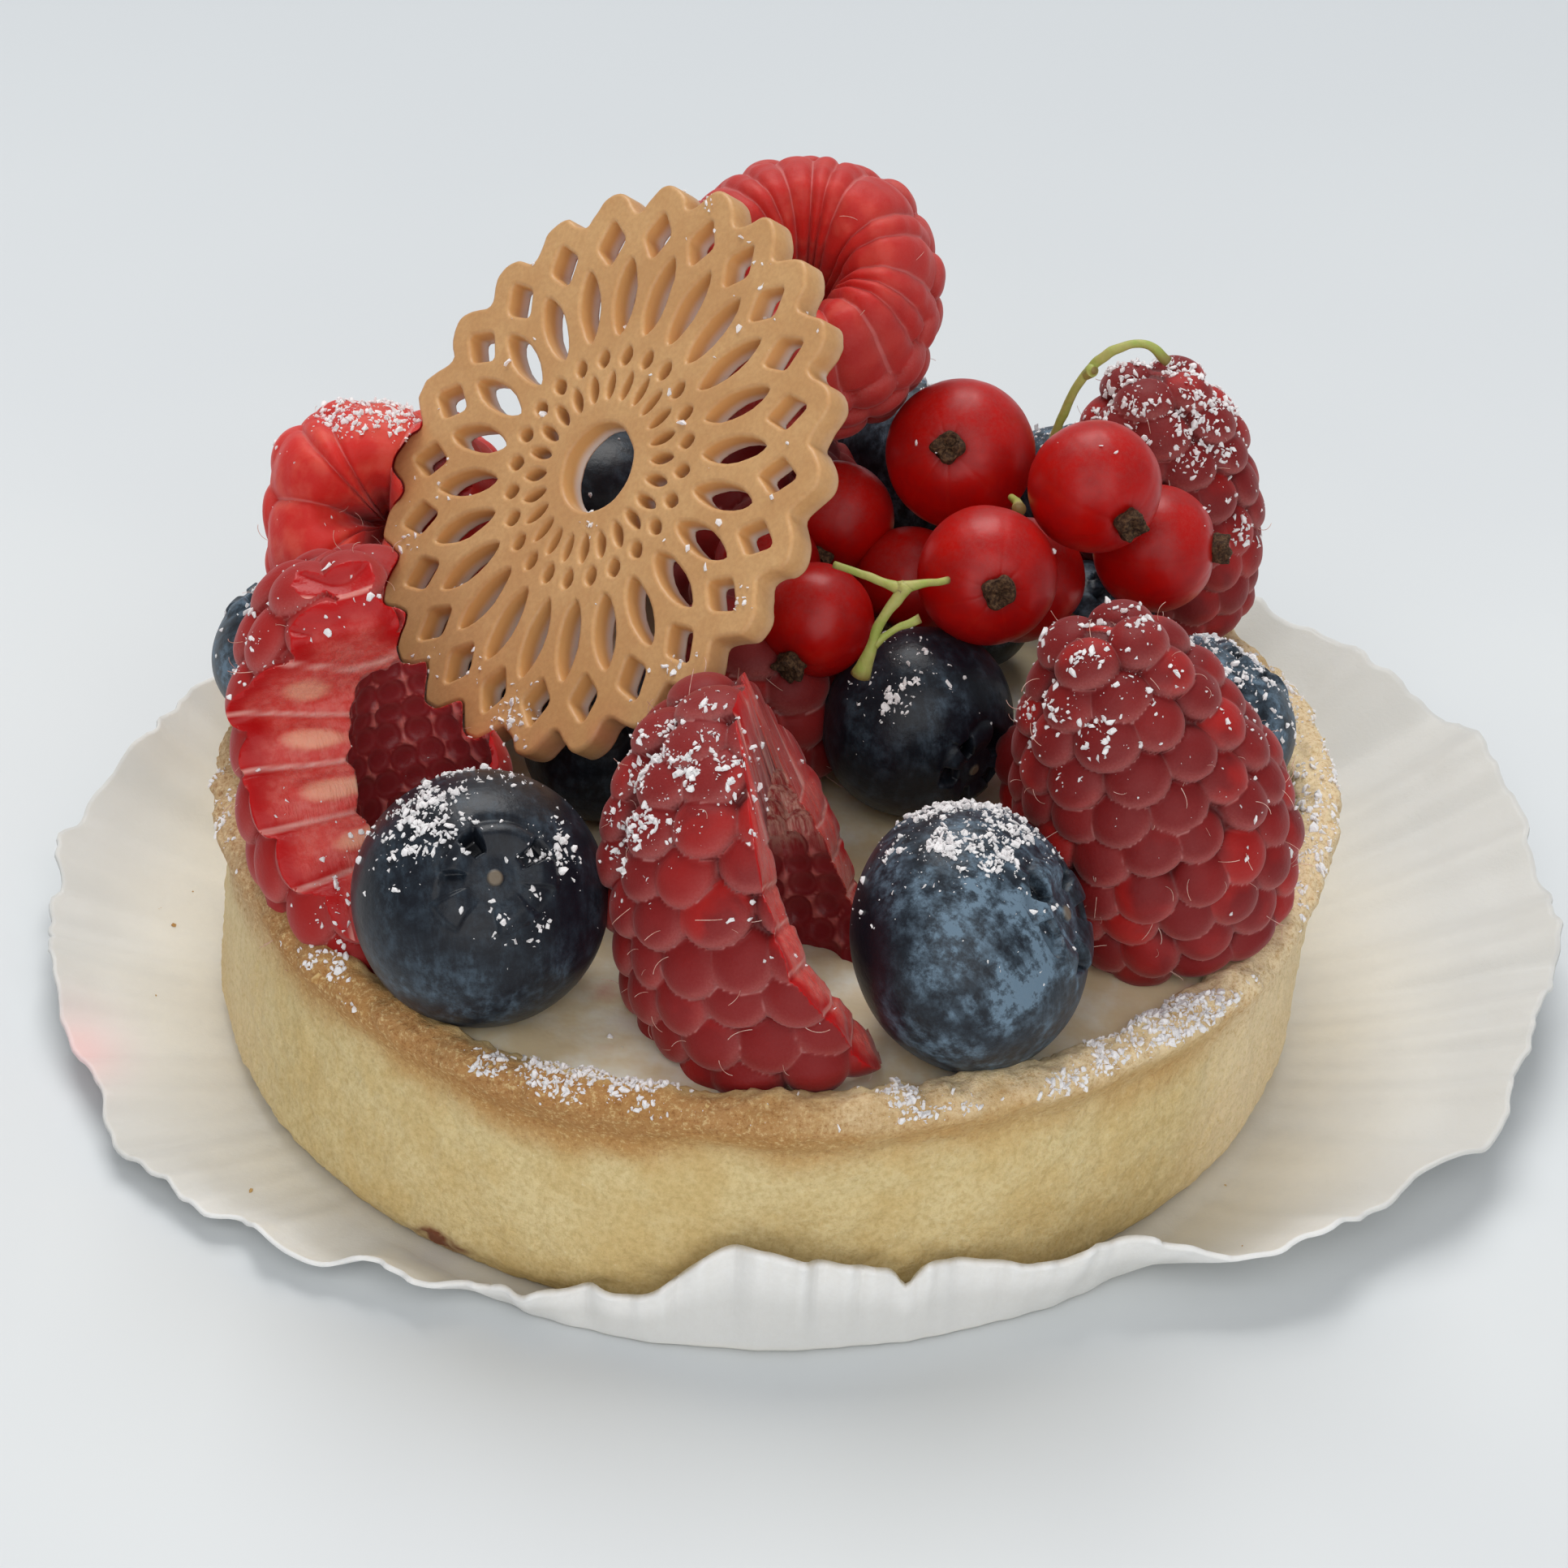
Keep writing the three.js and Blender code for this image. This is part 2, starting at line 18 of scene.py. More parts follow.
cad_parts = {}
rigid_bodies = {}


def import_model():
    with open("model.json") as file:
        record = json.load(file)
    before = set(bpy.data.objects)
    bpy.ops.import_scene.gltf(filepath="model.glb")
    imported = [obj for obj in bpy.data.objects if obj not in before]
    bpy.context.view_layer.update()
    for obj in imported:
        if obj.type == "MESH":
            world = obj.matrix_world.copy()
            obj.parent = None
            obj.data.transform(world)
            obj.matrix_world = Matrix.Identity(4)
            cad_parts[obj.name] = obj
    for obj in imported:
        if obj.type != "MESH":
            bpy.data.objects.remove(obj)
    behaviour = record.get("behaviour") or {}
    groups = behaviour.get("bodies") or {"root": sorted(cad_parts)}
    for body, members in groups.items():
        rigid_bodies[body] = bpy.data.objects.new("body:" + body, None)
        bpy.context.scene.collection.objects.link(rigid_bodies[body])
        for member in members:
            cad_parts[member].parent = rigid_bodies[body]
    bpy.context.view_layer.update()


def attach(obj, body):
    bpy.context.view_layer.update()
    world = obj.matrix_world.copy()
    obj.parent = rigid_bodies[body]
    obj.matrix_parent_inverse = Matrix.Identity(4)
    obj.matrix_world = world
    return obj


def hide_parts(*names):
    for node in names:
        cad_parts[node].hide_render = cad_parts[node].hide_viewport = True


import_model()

bl_info = {
    "name": "Berry Tart Dresser",
    "version": (1, 0, 0),
    "blender": (4, 5, 0),
    "location": "View3D > Sidebar > Tart",
    "description": "Makes the visible pastry, cream, fruit, lace disc, paper case and sugar of a berry tart",
    "category": "Object",
}

MM = 0.001
TURN = 2 * math.pi
DRESSED = "dressed_"

# ---------------------------------------------------------------- where the pieces lie, in millimetres

# name: centre, direction of the crown, radius, height over width, columns of faces, bloom left on the skin
BLUEBERRIES = {
    "blueberry_front_left": ((-19, -25.3, 24.3), (0.17, -0.68, 0.72), 8.5, 0.94, 240, 0.14),
    "blueberry_front_right": ((13.2, -27.6, 24.8), (0.84, -0.23, 0.49), 8.9, 0.84, 240, 0.6),
    "blueberry_centre": ((9.8, -1.5, 23.9), (0.64, -0.77, -0.12), 6.9, 0.92, 220, 0.16),
    "blueberry_right": ((30.2, 1.2, 23.5), (0.55, 0.4, 0.75), 6.5, 0.86, 180, 1),
    "blueberry_left": ((-34.6, 3, 24.6), (-0.6, 0.3, 0.7), 6.2, 0.86, 180, 0.8),
    "blueberry_under_disc": ((-12, -4, 22.7), (-0.2, -0.5, 0.8), 5.8, 0.92, 110, 0.15),
    "blueberry_back_left": ((-14.5, 25.5, 24), (-0.4, 0.4, 0.8), 6.7, 0.86, 150, 0.2),
    "blueberry_back": ((9, 29.5, 26.2), (0.1, 0.6, 0.8), 7.4, 0.86, 180, 0.9),
    "blueberry_back_right": ((20.8, 27, 26.3), (0.3, 0.6, 0.7), 5.4, 0.86, 150, 0.9),
    "blueberry_inner_right": ((22.6, 13, 23.8), (0.3, -0.2, 0.9), 4.5, 0.86, 100, 0.6),
    "blueberry_inner_left": ((-19, 8, 22.4), (-0.3, 0.1, 0.9), 5.4, 0.86, 100, 0.6),
    "blueberry_inner_back": ((13.5, 16, 21.8), (0.2, 0.3, 0.9), 4.7, 0.86, 100, 0.6),
}
# share of the radius that the crown takes up
CROWN = 0.42
# name: patches of (direction, width in radii, more or less bloom)
BLOOM_PATCHES = {
    "blueberry_front_left": (
        (-0.6, -0.7, -0.4, 0.7, 0.3), (0.3, -0.8, -0.3, 0.8, 0.25),
        (0, -0.5, -0.9, 0.6, -0.3), (-0.9, -0.2, 0.1, 0.6, -0.3),
    ),
    "blueberry_front_right": (
        # the first patch is less bloom on the side toward the front cut raspberry, partly wiped bloom and
        # partly painted shade between the two berries
        (-1, -0.35, 0.1, 0.85, -1.2), (0.25, -0.8, 0.55, 0.9, 2),
        (0.4, -0.8, -0.5, 0.6, 0.35), (-0.6, -0.7, -0.5, 0.5, -0.3),
    ),
    "blueberry_centre": ((0.2, -0.7, 0.6, 0.6, 0.25),),
}

# name: base, tip, radius, drupelet width, row height, bluntness of the tip, rings and columns of faces
RASPBERRIES = {
    "raspberry_front_cut": ((2.6, -28, 15.6), (-2.9, -19.2, 38.4), 11.1, 4, 3, 2.4, 210, 290),
    "raspberry_right": ((28.2, -14.8, 18.4), (20.4, -14.8, 41.4), 9.3, 3.6, 2.7, 1.22, 210, 290),
    "raspberry_top": ((0.4, 15.9, 50.6), (0.3, 27.6, 36.1), 9.5, 3.2, 3, 2.3, 220, 330),
    "raspberry_left_cut": ((-24.9, -18.6, 15.4), (-30.9, -7.6, 39.8), 8.9, 3.8, 3.5, 2.3, 210, 290),
    "raspberry_back_left_cut": ((-29.6, 9.8, 31.8), (-28.8, 22, 22.3), 8.2, 4, 3, 2.3, 190, 290),
    "raspberry_back_right": ((28, 20.4, 20.4), (26.2, 22.4, 39.6), 7.2, 3.6, 2.6, 2, 160, 220),
    "raspberry_under_top": ((-2, 28.5, 24.6), (-2, 11, 25), 7.8, 4.2, 3, 2.3, 90, 130),
    "raspberry_inner_right": ((24, -1.8, 21.6), (16.6, -6.8, 22), 4.6, 3.4, 2.6, 2.3, 90, 130),
    "raspberry_middle": ((-2, 2.5, 18.2), (-2, 1.6, 30.5), 6.6, 4.2, 3, 2.3, 90, 130),
}
# shares of a raspberry's length and radius: where it is widest, and how wide it is at the base
WIDEST, SHOULDER = 0.36, 0.82
# name: point and direction of the knife's face, twist of the face, width and shift of the hollow, flesh left,
# shares of the length above which the hollow is stringy and the tip is whole
CUTS = {
    "raspberry_front_cut": ((6.9, -25.8, 18.1), (0.91, 0.11, 0.4), 1.4, 0.68, (0, 0, 0), 3, 0.42, 2),
    "raspberry_left_cut": ((-27.9, -11.6, 31.2), (0.1, -0.62, 0.78), 0, 0.66, (3.4, 0, 0), 6.6, 2, 0.62),
}
# how much painted glow a cut raspberry has over others: brighter red that stands in for light through its
# flesh
CUT_PAINTED_GLOW = {"raspberry_left_cut": 0.35, "raspberry_front_cut": 0.08}
CAVITY_DEPTH = 0.74
# name: ridges round the open end, height of a ridge, how clear the ridges are, which squares the open end and
# sets the least painted glow
OPEN_ENDS = {"raspberry_top": (20, 0.7, 0.6), "raspberry_back_left_cut": (10, 1, 0.95)}

# name: centre, direction of the dry tuft, radius, columns of faces
CURRANTS = {
    "currant_1": ((12, 15, 36), (-0.2, -0.8, 0.56), 5.4, 126),
    "currant_2": ((21.2, 7, 38.6), (0.5, -0.85, -0.1), 4.7, 126),
    "currant_3": ((14, 2, 34), (0.12, -0.93, 0.33), 4.9, 126),
    "currant_4": ((26.2, 10.5, 31.6), (0.98, -0.1, 0.1), 4.6, 126),
    "currant_5": ((16.8, 9.6, 29), (0.7, -0.3, -0.6), 4.6, 126),
    "currant_6": ((3.4, 13.6, 31), (-0.3, -0.9, -0.3), 4.2, 84),
    "currant_7": ((9, 10.2, 28), (-0.5, -0.6, -0.6), 4.1, 84),
    "currant_8": ((2.2, 0.2, 30.8), (-0.4, -0.8, -0.4), 4.1, 84),
    "currant_9": ((-1.4, 8.2, 30), (-0.7, -0.6, -0.4), 3.8, 84),
}
TUFT_HEIGHT, TUFT_RADIUS = 1.15, 1.08

# name: twigs, each a list of points with the radius at each, which is drawn a little thinner
STEMS = {
    "stem_front": (
        ((3.2, -3.2, 37.6, 0.3), (6.2, -4.6, 37.4, 0.36), (8, -5.6, 37.2, 0.55)),
        ((7.6, -5.4, 37.3, 0.55), (9.4, -4.8, 37.4, 0.36), (11, -3.6, 37, 0.32)),
        ((8.2, -5.4, 37.6, 0.6), (6.6, -6.2, 35.2, 0.42), (6, -6.6, 33.2, 0.5), (5.4, -6.8, 31, 0.85)),
        ((6.2, -6.6, 33.4, 0.42), (7.6, -6, 34.4, 0.3), (9.2, -5.4, 35, 0.38)),
    ),
    "stem_middle": (((15.6, 9, 36.2, 0.35), (15.9, 7.4, 36.8, 0.4), (16, 5.6, 37.3, 0.6)),),
    "stem_back": (
        (
            (18.6, 17.6, 35, 0.5), (19.1, 17.6, 37.6, 0.42), (20.3, 17.6, 41, 0.4),
            (22.3, 17.6, 43.5, 0.42), (24.6, 17.6, 44.2, 0.4), (26.4, 17.4, 43, 0.5),
        ),
        ((20.6, 17.6, 41.4, 0.42), (21, 17.3, 42, 0.6), (21.2, 17, 42.2, 0.3)),
    ),
}
STEM_THINNING = 0.82

DISC_CENTRE, DISC_NORMAL, DISC_TURN = (-12.7, 2.9, 40.4), (-0.65, -0.45, 0.61), math.radians(1.2)
DISC_RADIUS, DISC_NOTCH, DISC_HOLE, DISC_PETALS = 20.7, 18.7, 3.2, 24
DISC_THICKNESS, DISC_ROUNDING = 2.2, 0.31
# angle in degrees and strength of each drop of juice on the disc's edge
DISC_JUICE = ((-98, 0.9), (-113, 0.6), (-128, 0.7), (-160, 0.3), (-172, 0.35))
# share of the way from the disc to the camera in which the raspberries leave the disc's outline free
CLEAR_VIEW = 0.16

TART_HEIGHT, FOOT_SHIFT = 19, -1.1
CREAM_RADIUS, CREAM_LEVEL = 36.3, 17.2
CRUST_PROFILE = (
    (0, 0.65), (37.7, 0.65), (38.7, 2.25), (38.7, 15), (39.5, 16.4), (40, 17.6), (39.5, 18.6),
    (38.4, 19), (36.8, 18.5), (36, 16.6), (36, 4.6), (34.8, 3.4), (0, 3.4),
)
# steps in each stretch of the profile, and columns of faces
CRUST_STEPS, CRUST_COLUMNS = (9, 5, 40, 5, 4, 4, 5, 6, 7, 10, 2, 6), 720

PAPER_FLAT, PAPER_THICKNESS = 35, 0.35
PAPER_COLUMNS, PAPER_FLAT_ROWS, PAPER_WALL_ROWS = 736, 6, 46
# angle in degrees, radius of the fold at the foot, radius of the edge, height of the edge
PAPER_EDGE = (
    (-90, 41.2, 40.8, 8.4), (-76, 40.8, 41.2, 6.4), (-60, 40.4, 42.4, 6), (-40, 39, 49.5, 4.6),
    (-20, 38.4, 55, 5), (0, 38.2, 57, 5.5), (25, 38.2, 58, 7.5), (50, 38.4, 54, 9), (90, 39, 46, 11),
    (130, 38.6, 46, 10), (160, 38.2, 50.5, 6.5), (180, 38.6, 52.5, 4), (205, 39.6, 51, 2.4),
    (225, 40.2, 48, 2), (243, 40.6, 44.5, 2.4), (256, 41.2, 41.6, 3.8), (270, 41.2, 40.8, 8.4),
)

# name: general dusting, then patches of (direction from the piece's middle, width in degrees, amount)
DUSTING = {
    "blueberry_front_left": (
        0.05, (-0.5, -0.15, 0.85, 26, 1.1), (0.6, -0.35, 0.75, 18, 1), (0.4, -0.8, 0.45, 13, 1),
        (0, 0.5, 0.85, 24, 0.5),
    ),
    "blueberry_front_right": (0.06, (-0.05, 0.15, 1, 36, 1.6), (-0.85, -0.3, 0.1, 22, 0.3)),
    "blueberry_centre": (0.05, (-0.35, -0.45, 0.8, 24, 0.9), (-0.9, 0, 0.4, 16, 0.5), (0, 0.3, 1, 30, 0.35)),
    "blueberry_right": (0.3, (0.1, 0, 1, 40, 1)),
    "blueberry_left": (0.15, (0, 0, 1, 40, 0.6)),
    "blueberry_back_left": (0.03,),
    "blueberry_back": (0.2, (0, 0, 1, 40, 0.8)),
    "blueberry_back_right": (0.2, (0, 0, 1, 40, 0.8)),
    "raspberry_front_cut": (0.05, (-0.45, -0.2, 0.85, 26, 1.1), (-0.8, -0.3, 0.4, 18, 0.9)),
    "raspberry_right": (0.12, (-0.75, -0.45, 0.45, 34, 0.9), (-0.3, -0.2, 1, 18, 0.4)),
    "raspberry_top": (0,),
    "raspberry_left_cut": (0.05, (-0.6, -0.2, 0.8, 24, 0.3), (0, -0.7, -0.6, 26, 0.5)),
    "raspberry_back_left_cut": (0.05, (-0.1, 0.1, 1, 26, 1.2)),
    "raspberry_back_right": (0.3, (0, 0, 1, 40, 0.8), (0.9, -0.3, -0.2, 30, 0.8)),
    "currant_1": (0.01,),
    "currant_2": (0.01,),
    "currant_3": (0.01,),
    "currant_4": (0.03,),
    "lace_disc": (0.006,),
    "cream": (0.02,),
    "crust": (0.03,),
}
# place in the disc's own plane, radius, amount
DISC_DUSTING = (
    (-10.7, -14.6, 1.3, 1.6), (-11.5, -12.2, 0.8, 1.3), (-13.9, -8.8, 0.8, 1.2), (-18, -7.4, 0.8, 1),
    (3, -17.5, 0.7, 1), (5.9, -17.6, 0.6, 0.8), (9.9, -15.8, 0.5, 1.2), (-2, -3.8, 1, 1.4),
    (13.1, 15, 0.6, 1.2), (15.4, 10.6, 0.5, 0.9), (16.8, 7.2, 0.6, 0.9), (12.3, -2, 0.4, 1),
    (-16.6, 6.3, 0.5, 0.9), (-17.1, 3.2, 0.4, 0.9),
)
# start and end of a stretch of the lip in degrees, amount
LIP_DUSTING = (
    (-119, -99, 1.4), (-79, -67, 1.4), (-62, -34, 1.8), (-144, -130, 0.7),
    (-33, 20, 0.7), (150, 205, 0.6), (20, 150, 0.35),
)
# how much thicker than elsewhere the flecks lie
MORE_FLECKS = {"lace_disc": 0.4, "crust": 0.12}

CAMERA_DISTANCE, CAMERA_ELEVATION, CAMERA_ROLL = 334, math.radians(35), math.radians(2.8)
CAMERA_ASIDE, CAMERA_RAISED, CAMERA_LENS = 1.2, 13.8, 104.35


def screen_colour(*colour):
    """Red, green and blue as they look on a screen, 0 to 255, as the light values that Blender uses."""
    return tuple(((c / 255 + 0.055) / 1.055) ** 2.4 if c > 10 else c / 255 / 12.92 for c in colour)


def colour_property(label, tip, *colour):
    colour = screen_colour(*colour)
    return FloatVectorProperty(name=label, description=tip, subtype="COLOR", min=0, max=1, default=colour)


def length_property(label, tip, millimetres):
    return FloatProperty(name=label, description=tip, default=millimetres * MM, unit="LENGTH", precision=5)


# ---------------------------------------------------------------- what a user would change


class TartPastry(bpy.types.PropertyGroup):
    """The crust, the cream and the lace disc."""

    grain: length_property("Grain", "Depth of the crumb on the wall", 0.1)
    pale: colour_property("Wall", "Colour of the pale wall", 222, 202, 152)
    brown: colour_property("Lip", "Colour of the baked lip", 190, 142, 84)
    cream: colour_property("Cream", "Colour of the filling", 222, 203, 166)
    disc: colour_property("Disc", "Colour of the lace disc's face", 200, 152, 101)
    disc_wall: colour_property("Disc openings", "Colour inside the disc's openings", 214, 162, 102)


class TartFruit(bpy.types.PropertyGroup):
    """The berries and their stems."""

    raspberry: colour_property("Raspberry", "Main colour of the drupelets", 116, 7, 11)
    # the ripe colour is also the painted glow, brighter red that stands in for light through the flesh
    raspberry_ripe_and_glow: colour_property("Ripe glow", "Colour of the clearer drupelets", 210, 28, 18)
    # the velvet colour also paints the sheen on the drupelets' lower edges
    raspberry_down_and_sheen: colour_property("Velvet", "Colour of the pale down on a drupelet's edge", 196, 120, 116)
    raspberry_flesh: colour_property("Flesh", "Colour of the cut flesh", 204, 60, 54)
    blueberry: colour_property("Blueberry", "Colour of the bare skin", 12, 15, 24)
    bloom: colour_property("Bloom", "Colour of the waxy bloom", 104, 126, 144)
    currant: colour_property("Currant", "Colour of the currants' skin", 206, 12, 6)
    tuft: colour_property("Tuft", "Colour of the dry tufts", 56, 38, 28)
    stem: colour_property("Stem", "Colour of the stems", 158, 172, 84)
    hair_length: length_property("Hair", "Longest hair on a raspberry", 1.5)


class TartPaper(bpy.types.PropertyGroup):
    """The paper case."""

    pleats: IntProperty(name="Pleats", description="Number of small pleats round the case", default=92)
    depth: length_property("Pleat depth", "Depth of a pleat at the edge", 0.17)
    colour: colour_property("Paper", "Colour of the greaseproof paper", 205, 205, 202)
    # the greasy colour is lighter than the paper, partly grease and partly painted light near the crust
    greasy_and_lit: colour_property("Greasy paper", "Colour of the paper near the crust", 230, 224, 210)


class TartSugar(bpy.types.PropertyGroup):
    """The icing sugar."""

    fleck: length_property("Fleck", "Radius of a large fleck of sugar", 0.35)
    amount: FloatProperty(
        name="Amount", description="Share of the full dusting", default=1, min=0, subtype="FACTOR"
    )
    colour: colour_property("Sugar", "Colour of the icing sugar", 240, 234, 236)
    seed: IntProperty(name="Seed", description="Seed of the scattering", default=7)


# ---------------------------------------------------------------- numbers and points


def smooth(x):
    """Runs from 0 to 1 with soft ends as x does."""
    x = np.clip(x, 0, 1)
    return x * x * (3 - 2 * x)


def hill(x, y=0):
    """A soft hill: 1 where both are 0, and close to 0 two steps away."""
    return np.exp(-(x**2 + y**2))


def unit(v):
    v = np.asarray(v, float)
    return v / np.linalg.norm(v)


def on_circle(angle):
    """Points of a circle with a radius of 1."""
    return np.stack([np.cos(angle), np.sin(angle)], -1)


def about_axis(points):
    """For each point, the distance from the axis and the angle round it."""
    return np.hypot(points[:, 0], points[:, 1]), np.arctan2(points[:, 1], points[:, 0])


def raised(flat, height):
    """Points of a plane, set at one height or at a height each."""
    return np.column_stack([flat, np.full(len(flat), height, float)])


def axes_along(direction):
    """Three rows: two directions across the given one, and that direction."""
    z = unit(direction)
    helper = (0, 0, 1) if abs(z[2]) < 0.9 else (1, 0, 0)
    x = unit(np.cross(helper, z))
    return np.array([x, np.cross(z, x), z])


def lump(points, cell, seed=0):
    """Smooth noise from -1 to 1 at each point, with lumps about one cell across."""
    where = np.asarray(points, float) / cell + 1000.5
    corner = np.floor(where).astype(np.int64)
    part = smooth(where - corner)
    total = np.zeros(len(where))
    for step in np.ndindex(2, 2, 2):
        x, y, z = (corner + step).T
        n = (x * 73856093 ^ y * 19349663 ^ z * 83492791 ^ (seed + 1) * 26544357) & 0xFFFFFFFF
        n = ((n ^ (n >> 13)) * 1274126177) & 0xFFFFFFFF
        value = ((n ^ (n >> 16)) & 0xFFFF) / 32767.5 - 1
        across, along, up = np.abs(1 - np.array(step) - part).T
        total += value * (across * along * up)
    return total


def run_along(line):
    """The way from the line's start to each of its points."""
    return np.concatenate([[0], np.cumsum(np.linalg.norm(np.diff(line, axis=0), axis=1))])


def evenly(line, count):
    """The same line with its points at even distances."""
    line = np.asarray(line, float)
    run = run_along(line)
    at = np.linspace(0, run[-1], count)
    return np.stack([np.interp(at, run, values) for values in line.T], -1)


def ring_faces(rows, columns):
    """Faces over rings of points that follow a first pole and come before a last one."""
    index = 1 + np.arange(rows * columns).reshape(rows, columns)
    beside = np.roll(index, -1, axis=1)
    quads = np.stack([index[:-1], beside[:-1], beside[1:], index[1:]], -1).reshape(-1, 4)
    first = np.stack([np.zeros(columns, int), beside[0], index[0]], -1)
    last = np.stack([np.full(columns, rows * columns + 1), index[-1], beside[-1]], -1)
    return quads, np.concatenate([first, last])


def revolve(profile, columns):
    """Points and outward directions over a turned profile of (distance from the axis, height)."""
    profile = np.asarray(profile, float)
    along = np.gradient(profile, axis=0)
    along /= np.maximum(np.linalg.norm(along, axis=1, keepdims=True), 1e-9)
    around = on_circle(np.arange(columns) * TURN / columns)

    def turned(across, up):
        ring = np.empty((len(across), columns, 3))
        ring[..., :2] = across[:, None, None] * around
        ring[..., 2] = up[:, None]
        return ring[1:-1].reshape(-1, 3)

    points = turned(*profile.T)
    out = turned(along[:, 1], -along[:, 0])
    points = np.concatenate([[(0, 0, profile[0, 1])], points, [(0, 0, profile[-1, 1])]])
    out = np.concatenate([[(0, 0, -1)], out, [(0, 0, 1)]])
    return points, out, ring_faces(len(profile) - 2, columns)


# ---------------------------------------------------------------- meshes and pieces


def new_mesh(name, points, faces, fields=None):
    """A smooth mesh from points in millimetres, (quads, triangles) and fields with a value for each point."""
    quads, triangles = (np.asarray(f, int).reshape(-1, n) for f, n in zip(faces, (4, 3)))
    mesh = bpy.data.meshes.new(name)
    mesh.vertices.add(len(points))
    mesh.vertices.foreach_set("co", (np.asarray(points) * MM).astype(np.float32).ravel())
    mesh.loops.add(quads.size + triangles.size)
    mesh.loops.foreach_set("vertex_index", np.concatenate([quads.ravel(), triangles.ravel()]))
    starts = np.concatenate([np.arange(len(quads)) * 4, quads.size + np.arange(len(triangles)) * 3])
    mesh.polygons.add(len(starts))
    mesh.polygons.foreach_set("loop_start", starts)
    mesh.update(calc_edges=True)
    mesh.shade_smooth()
    set_fields(mesh, fields or {})
    return mesh


def set_fields(mesh, fields):
    """Stores one number or three for each point of the mesh."""
    for name, values in fields.items():
        values = np.asarray(values, np.float32)
        flat = values.ndim == 1
        field = mesh.attributes.new(name, "FLOAT" if flat else "FLOAT_VECTOR", "POINT")
        field.data.foreach_set("value" if flat else "vector", values.ravel())


def read(data, key, width=3, kind=np.float32):
    """What a mesh's points, edges or faces hold, as rows of that width."""
    values = np.empty(len(data) * width, kind)
    data.foreach_get(key, values)
    return values.reshape(-1, width)


def points_of(mesh):
    """The mesh's points in millimetres."""
    return read(mesh.vertices, "co") / MM


def triangles_of(mesh):
    mesh.calc_loop_triangles()
    return read(mesh.loop_triangles, "vertices", 3, np.int32)


def joined(parts):
    """The points, the faces and the field of several (points, (quads, triangles), field) parts as one."""
    points, faces, fields = zip(*parts)
    starts = np.cumsum([0, *map(len, points)])
    quads, triangles = (
        np.concatenate([np.asarray(f, int).reshape(-1, width) + start for f, start in zip(kind, starts)])
        for kind, width in zip(zip(*faces), (4, 3))
    )
    return np.concatenate(points), (quads, triangles), np.concatenate(fields)


def nearest_points(known, asked):
    """For each point asked about, the distance to the nearest known point and that point's number."""
    tree = KDTree(len(known))
    for k, point in enumerate(known):
        tree.insert(point, k)
    tree.balance()
    found = [tree.find(point) for point in asked]
    return np.array([f[2] for f in found]), np.array([f[1] for f in found])


def add_object(name, mesh):
    piece = bpy.data.objects.new(name, mesh)
    bpy.context.scene.collection.objects.link(piece)
    return piece


def finished_mesh(piece):
    """The mesh as its modifiers leave it, with the modifiers gone."""
    made = bpy.data.meshes.new_from_object(piece.evaluated_get(bpy.context.evaluated_depsgraph_get()))
    piece.modifiers.clear()
    return made


def make_piece(name, mesh, materials, replaces=True):
    """Adds a piece with its materials, which moves with the tart and stands for the solid of that name."""
    which = read(mesh.polygons, "material_index", 1, np.int32).ravel()
    mesh.materials.clear()
    for material in materials:
        mesh.materials.append(material)
    mesh.polygons.foreach_set("material_index", which)
    piece = add_object(DRESSED + name, mesh)
    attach(piece, "root")
    if replaces:
        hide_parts(name)
    return piece


def mesh_of(name):
    """The mesh of a piece made before."""
    return bpy.data.objects[DRESSED + name].data


def cut_away(mesh, tools):
    """The mesh less each of the closed tool meshes."""
    body = add_object("body_to_cut", mesh)
    helpers = [add_object("cutting_tool", tool) for tool in tools]
    for helper in helpers:
        modifier = body.modifiers.new("Cut", "BOOLEAN")
        modifier.operation = "DIFFERENCE"
        modifier.solver = "MANIFOLD"
        modifier.object = helper
    made = finished_mesh(body)
    for helper in [body, *helpers]:
        bpy.data.objects.remove(helper)
    made.shade_smooth()
    return made


def largest_part(mesh):
    """The mesh without the scraps that hang on nothing."""
    first, second = read(mesh.edges, "vertices", 2, np.int32).T
    label = np.arange(len(mesh.vertices))
    while True:
        least = label.copy()
        np.minimum.at(least, first, label[second])
        np.minimum.at(least, second, label[first])
        least = least[least]
        if (least == label).all():
            break
        label = least
    kept = np.bincount(label).argmax()
    shape = bmesh.new()
    shape.from_mesh(mesh)
    bmesh.ops.delete(shape, geom=[v for v in shape.verts if label[v.index] != kept], context="VERTS")
    shape.to_mesh(mesh)
    shape.free()
    return mesh


# ---------------------------------------------------------------- node trees


class Tree:
    """Short calls that add nodes to a tree and join them."""

    def __init__(self, tree):
        self.nodes, self.links = tree.nodes, tree.links

    def add(self, kind, inputs=None, output=0, **settings):
        """Adds a node, fills its inputs with values or sockets, and returns one output or the node itself."""
        node = self.nodes.new(kind)
        for key, value in settings.items():
            setattr(node, key, value)
        for key, value in (inputs or {}).items():
            if isinstance(value, bpy.types.NodeSocket):
                self.links.new(value, node.inputs[key])
            else:
                node.inputs[key].default_value = value
        return node if output is None else node.outputs[output]

    def number(self, operation, a, b=0.0, c=0.0):
        return self.add("ShaderNodeMath", {0: a, 1: b, 2: c}, operation=operation)

    def times(self, first, *others):
        """The product of all the numbers."""
        for other in others:
            first = self.number("MULTIPLY", first, other)
        return first

    def vector(self, operation, a, b):
        return self.add("ShaderNodeVectorMath", {0: a, 1: b}, operation=operation)

    def scaled(self, vector, size):
        return self.add("ShaderNodeVectorMath", {0: vector, "Scale": size}, operation="SCALE")


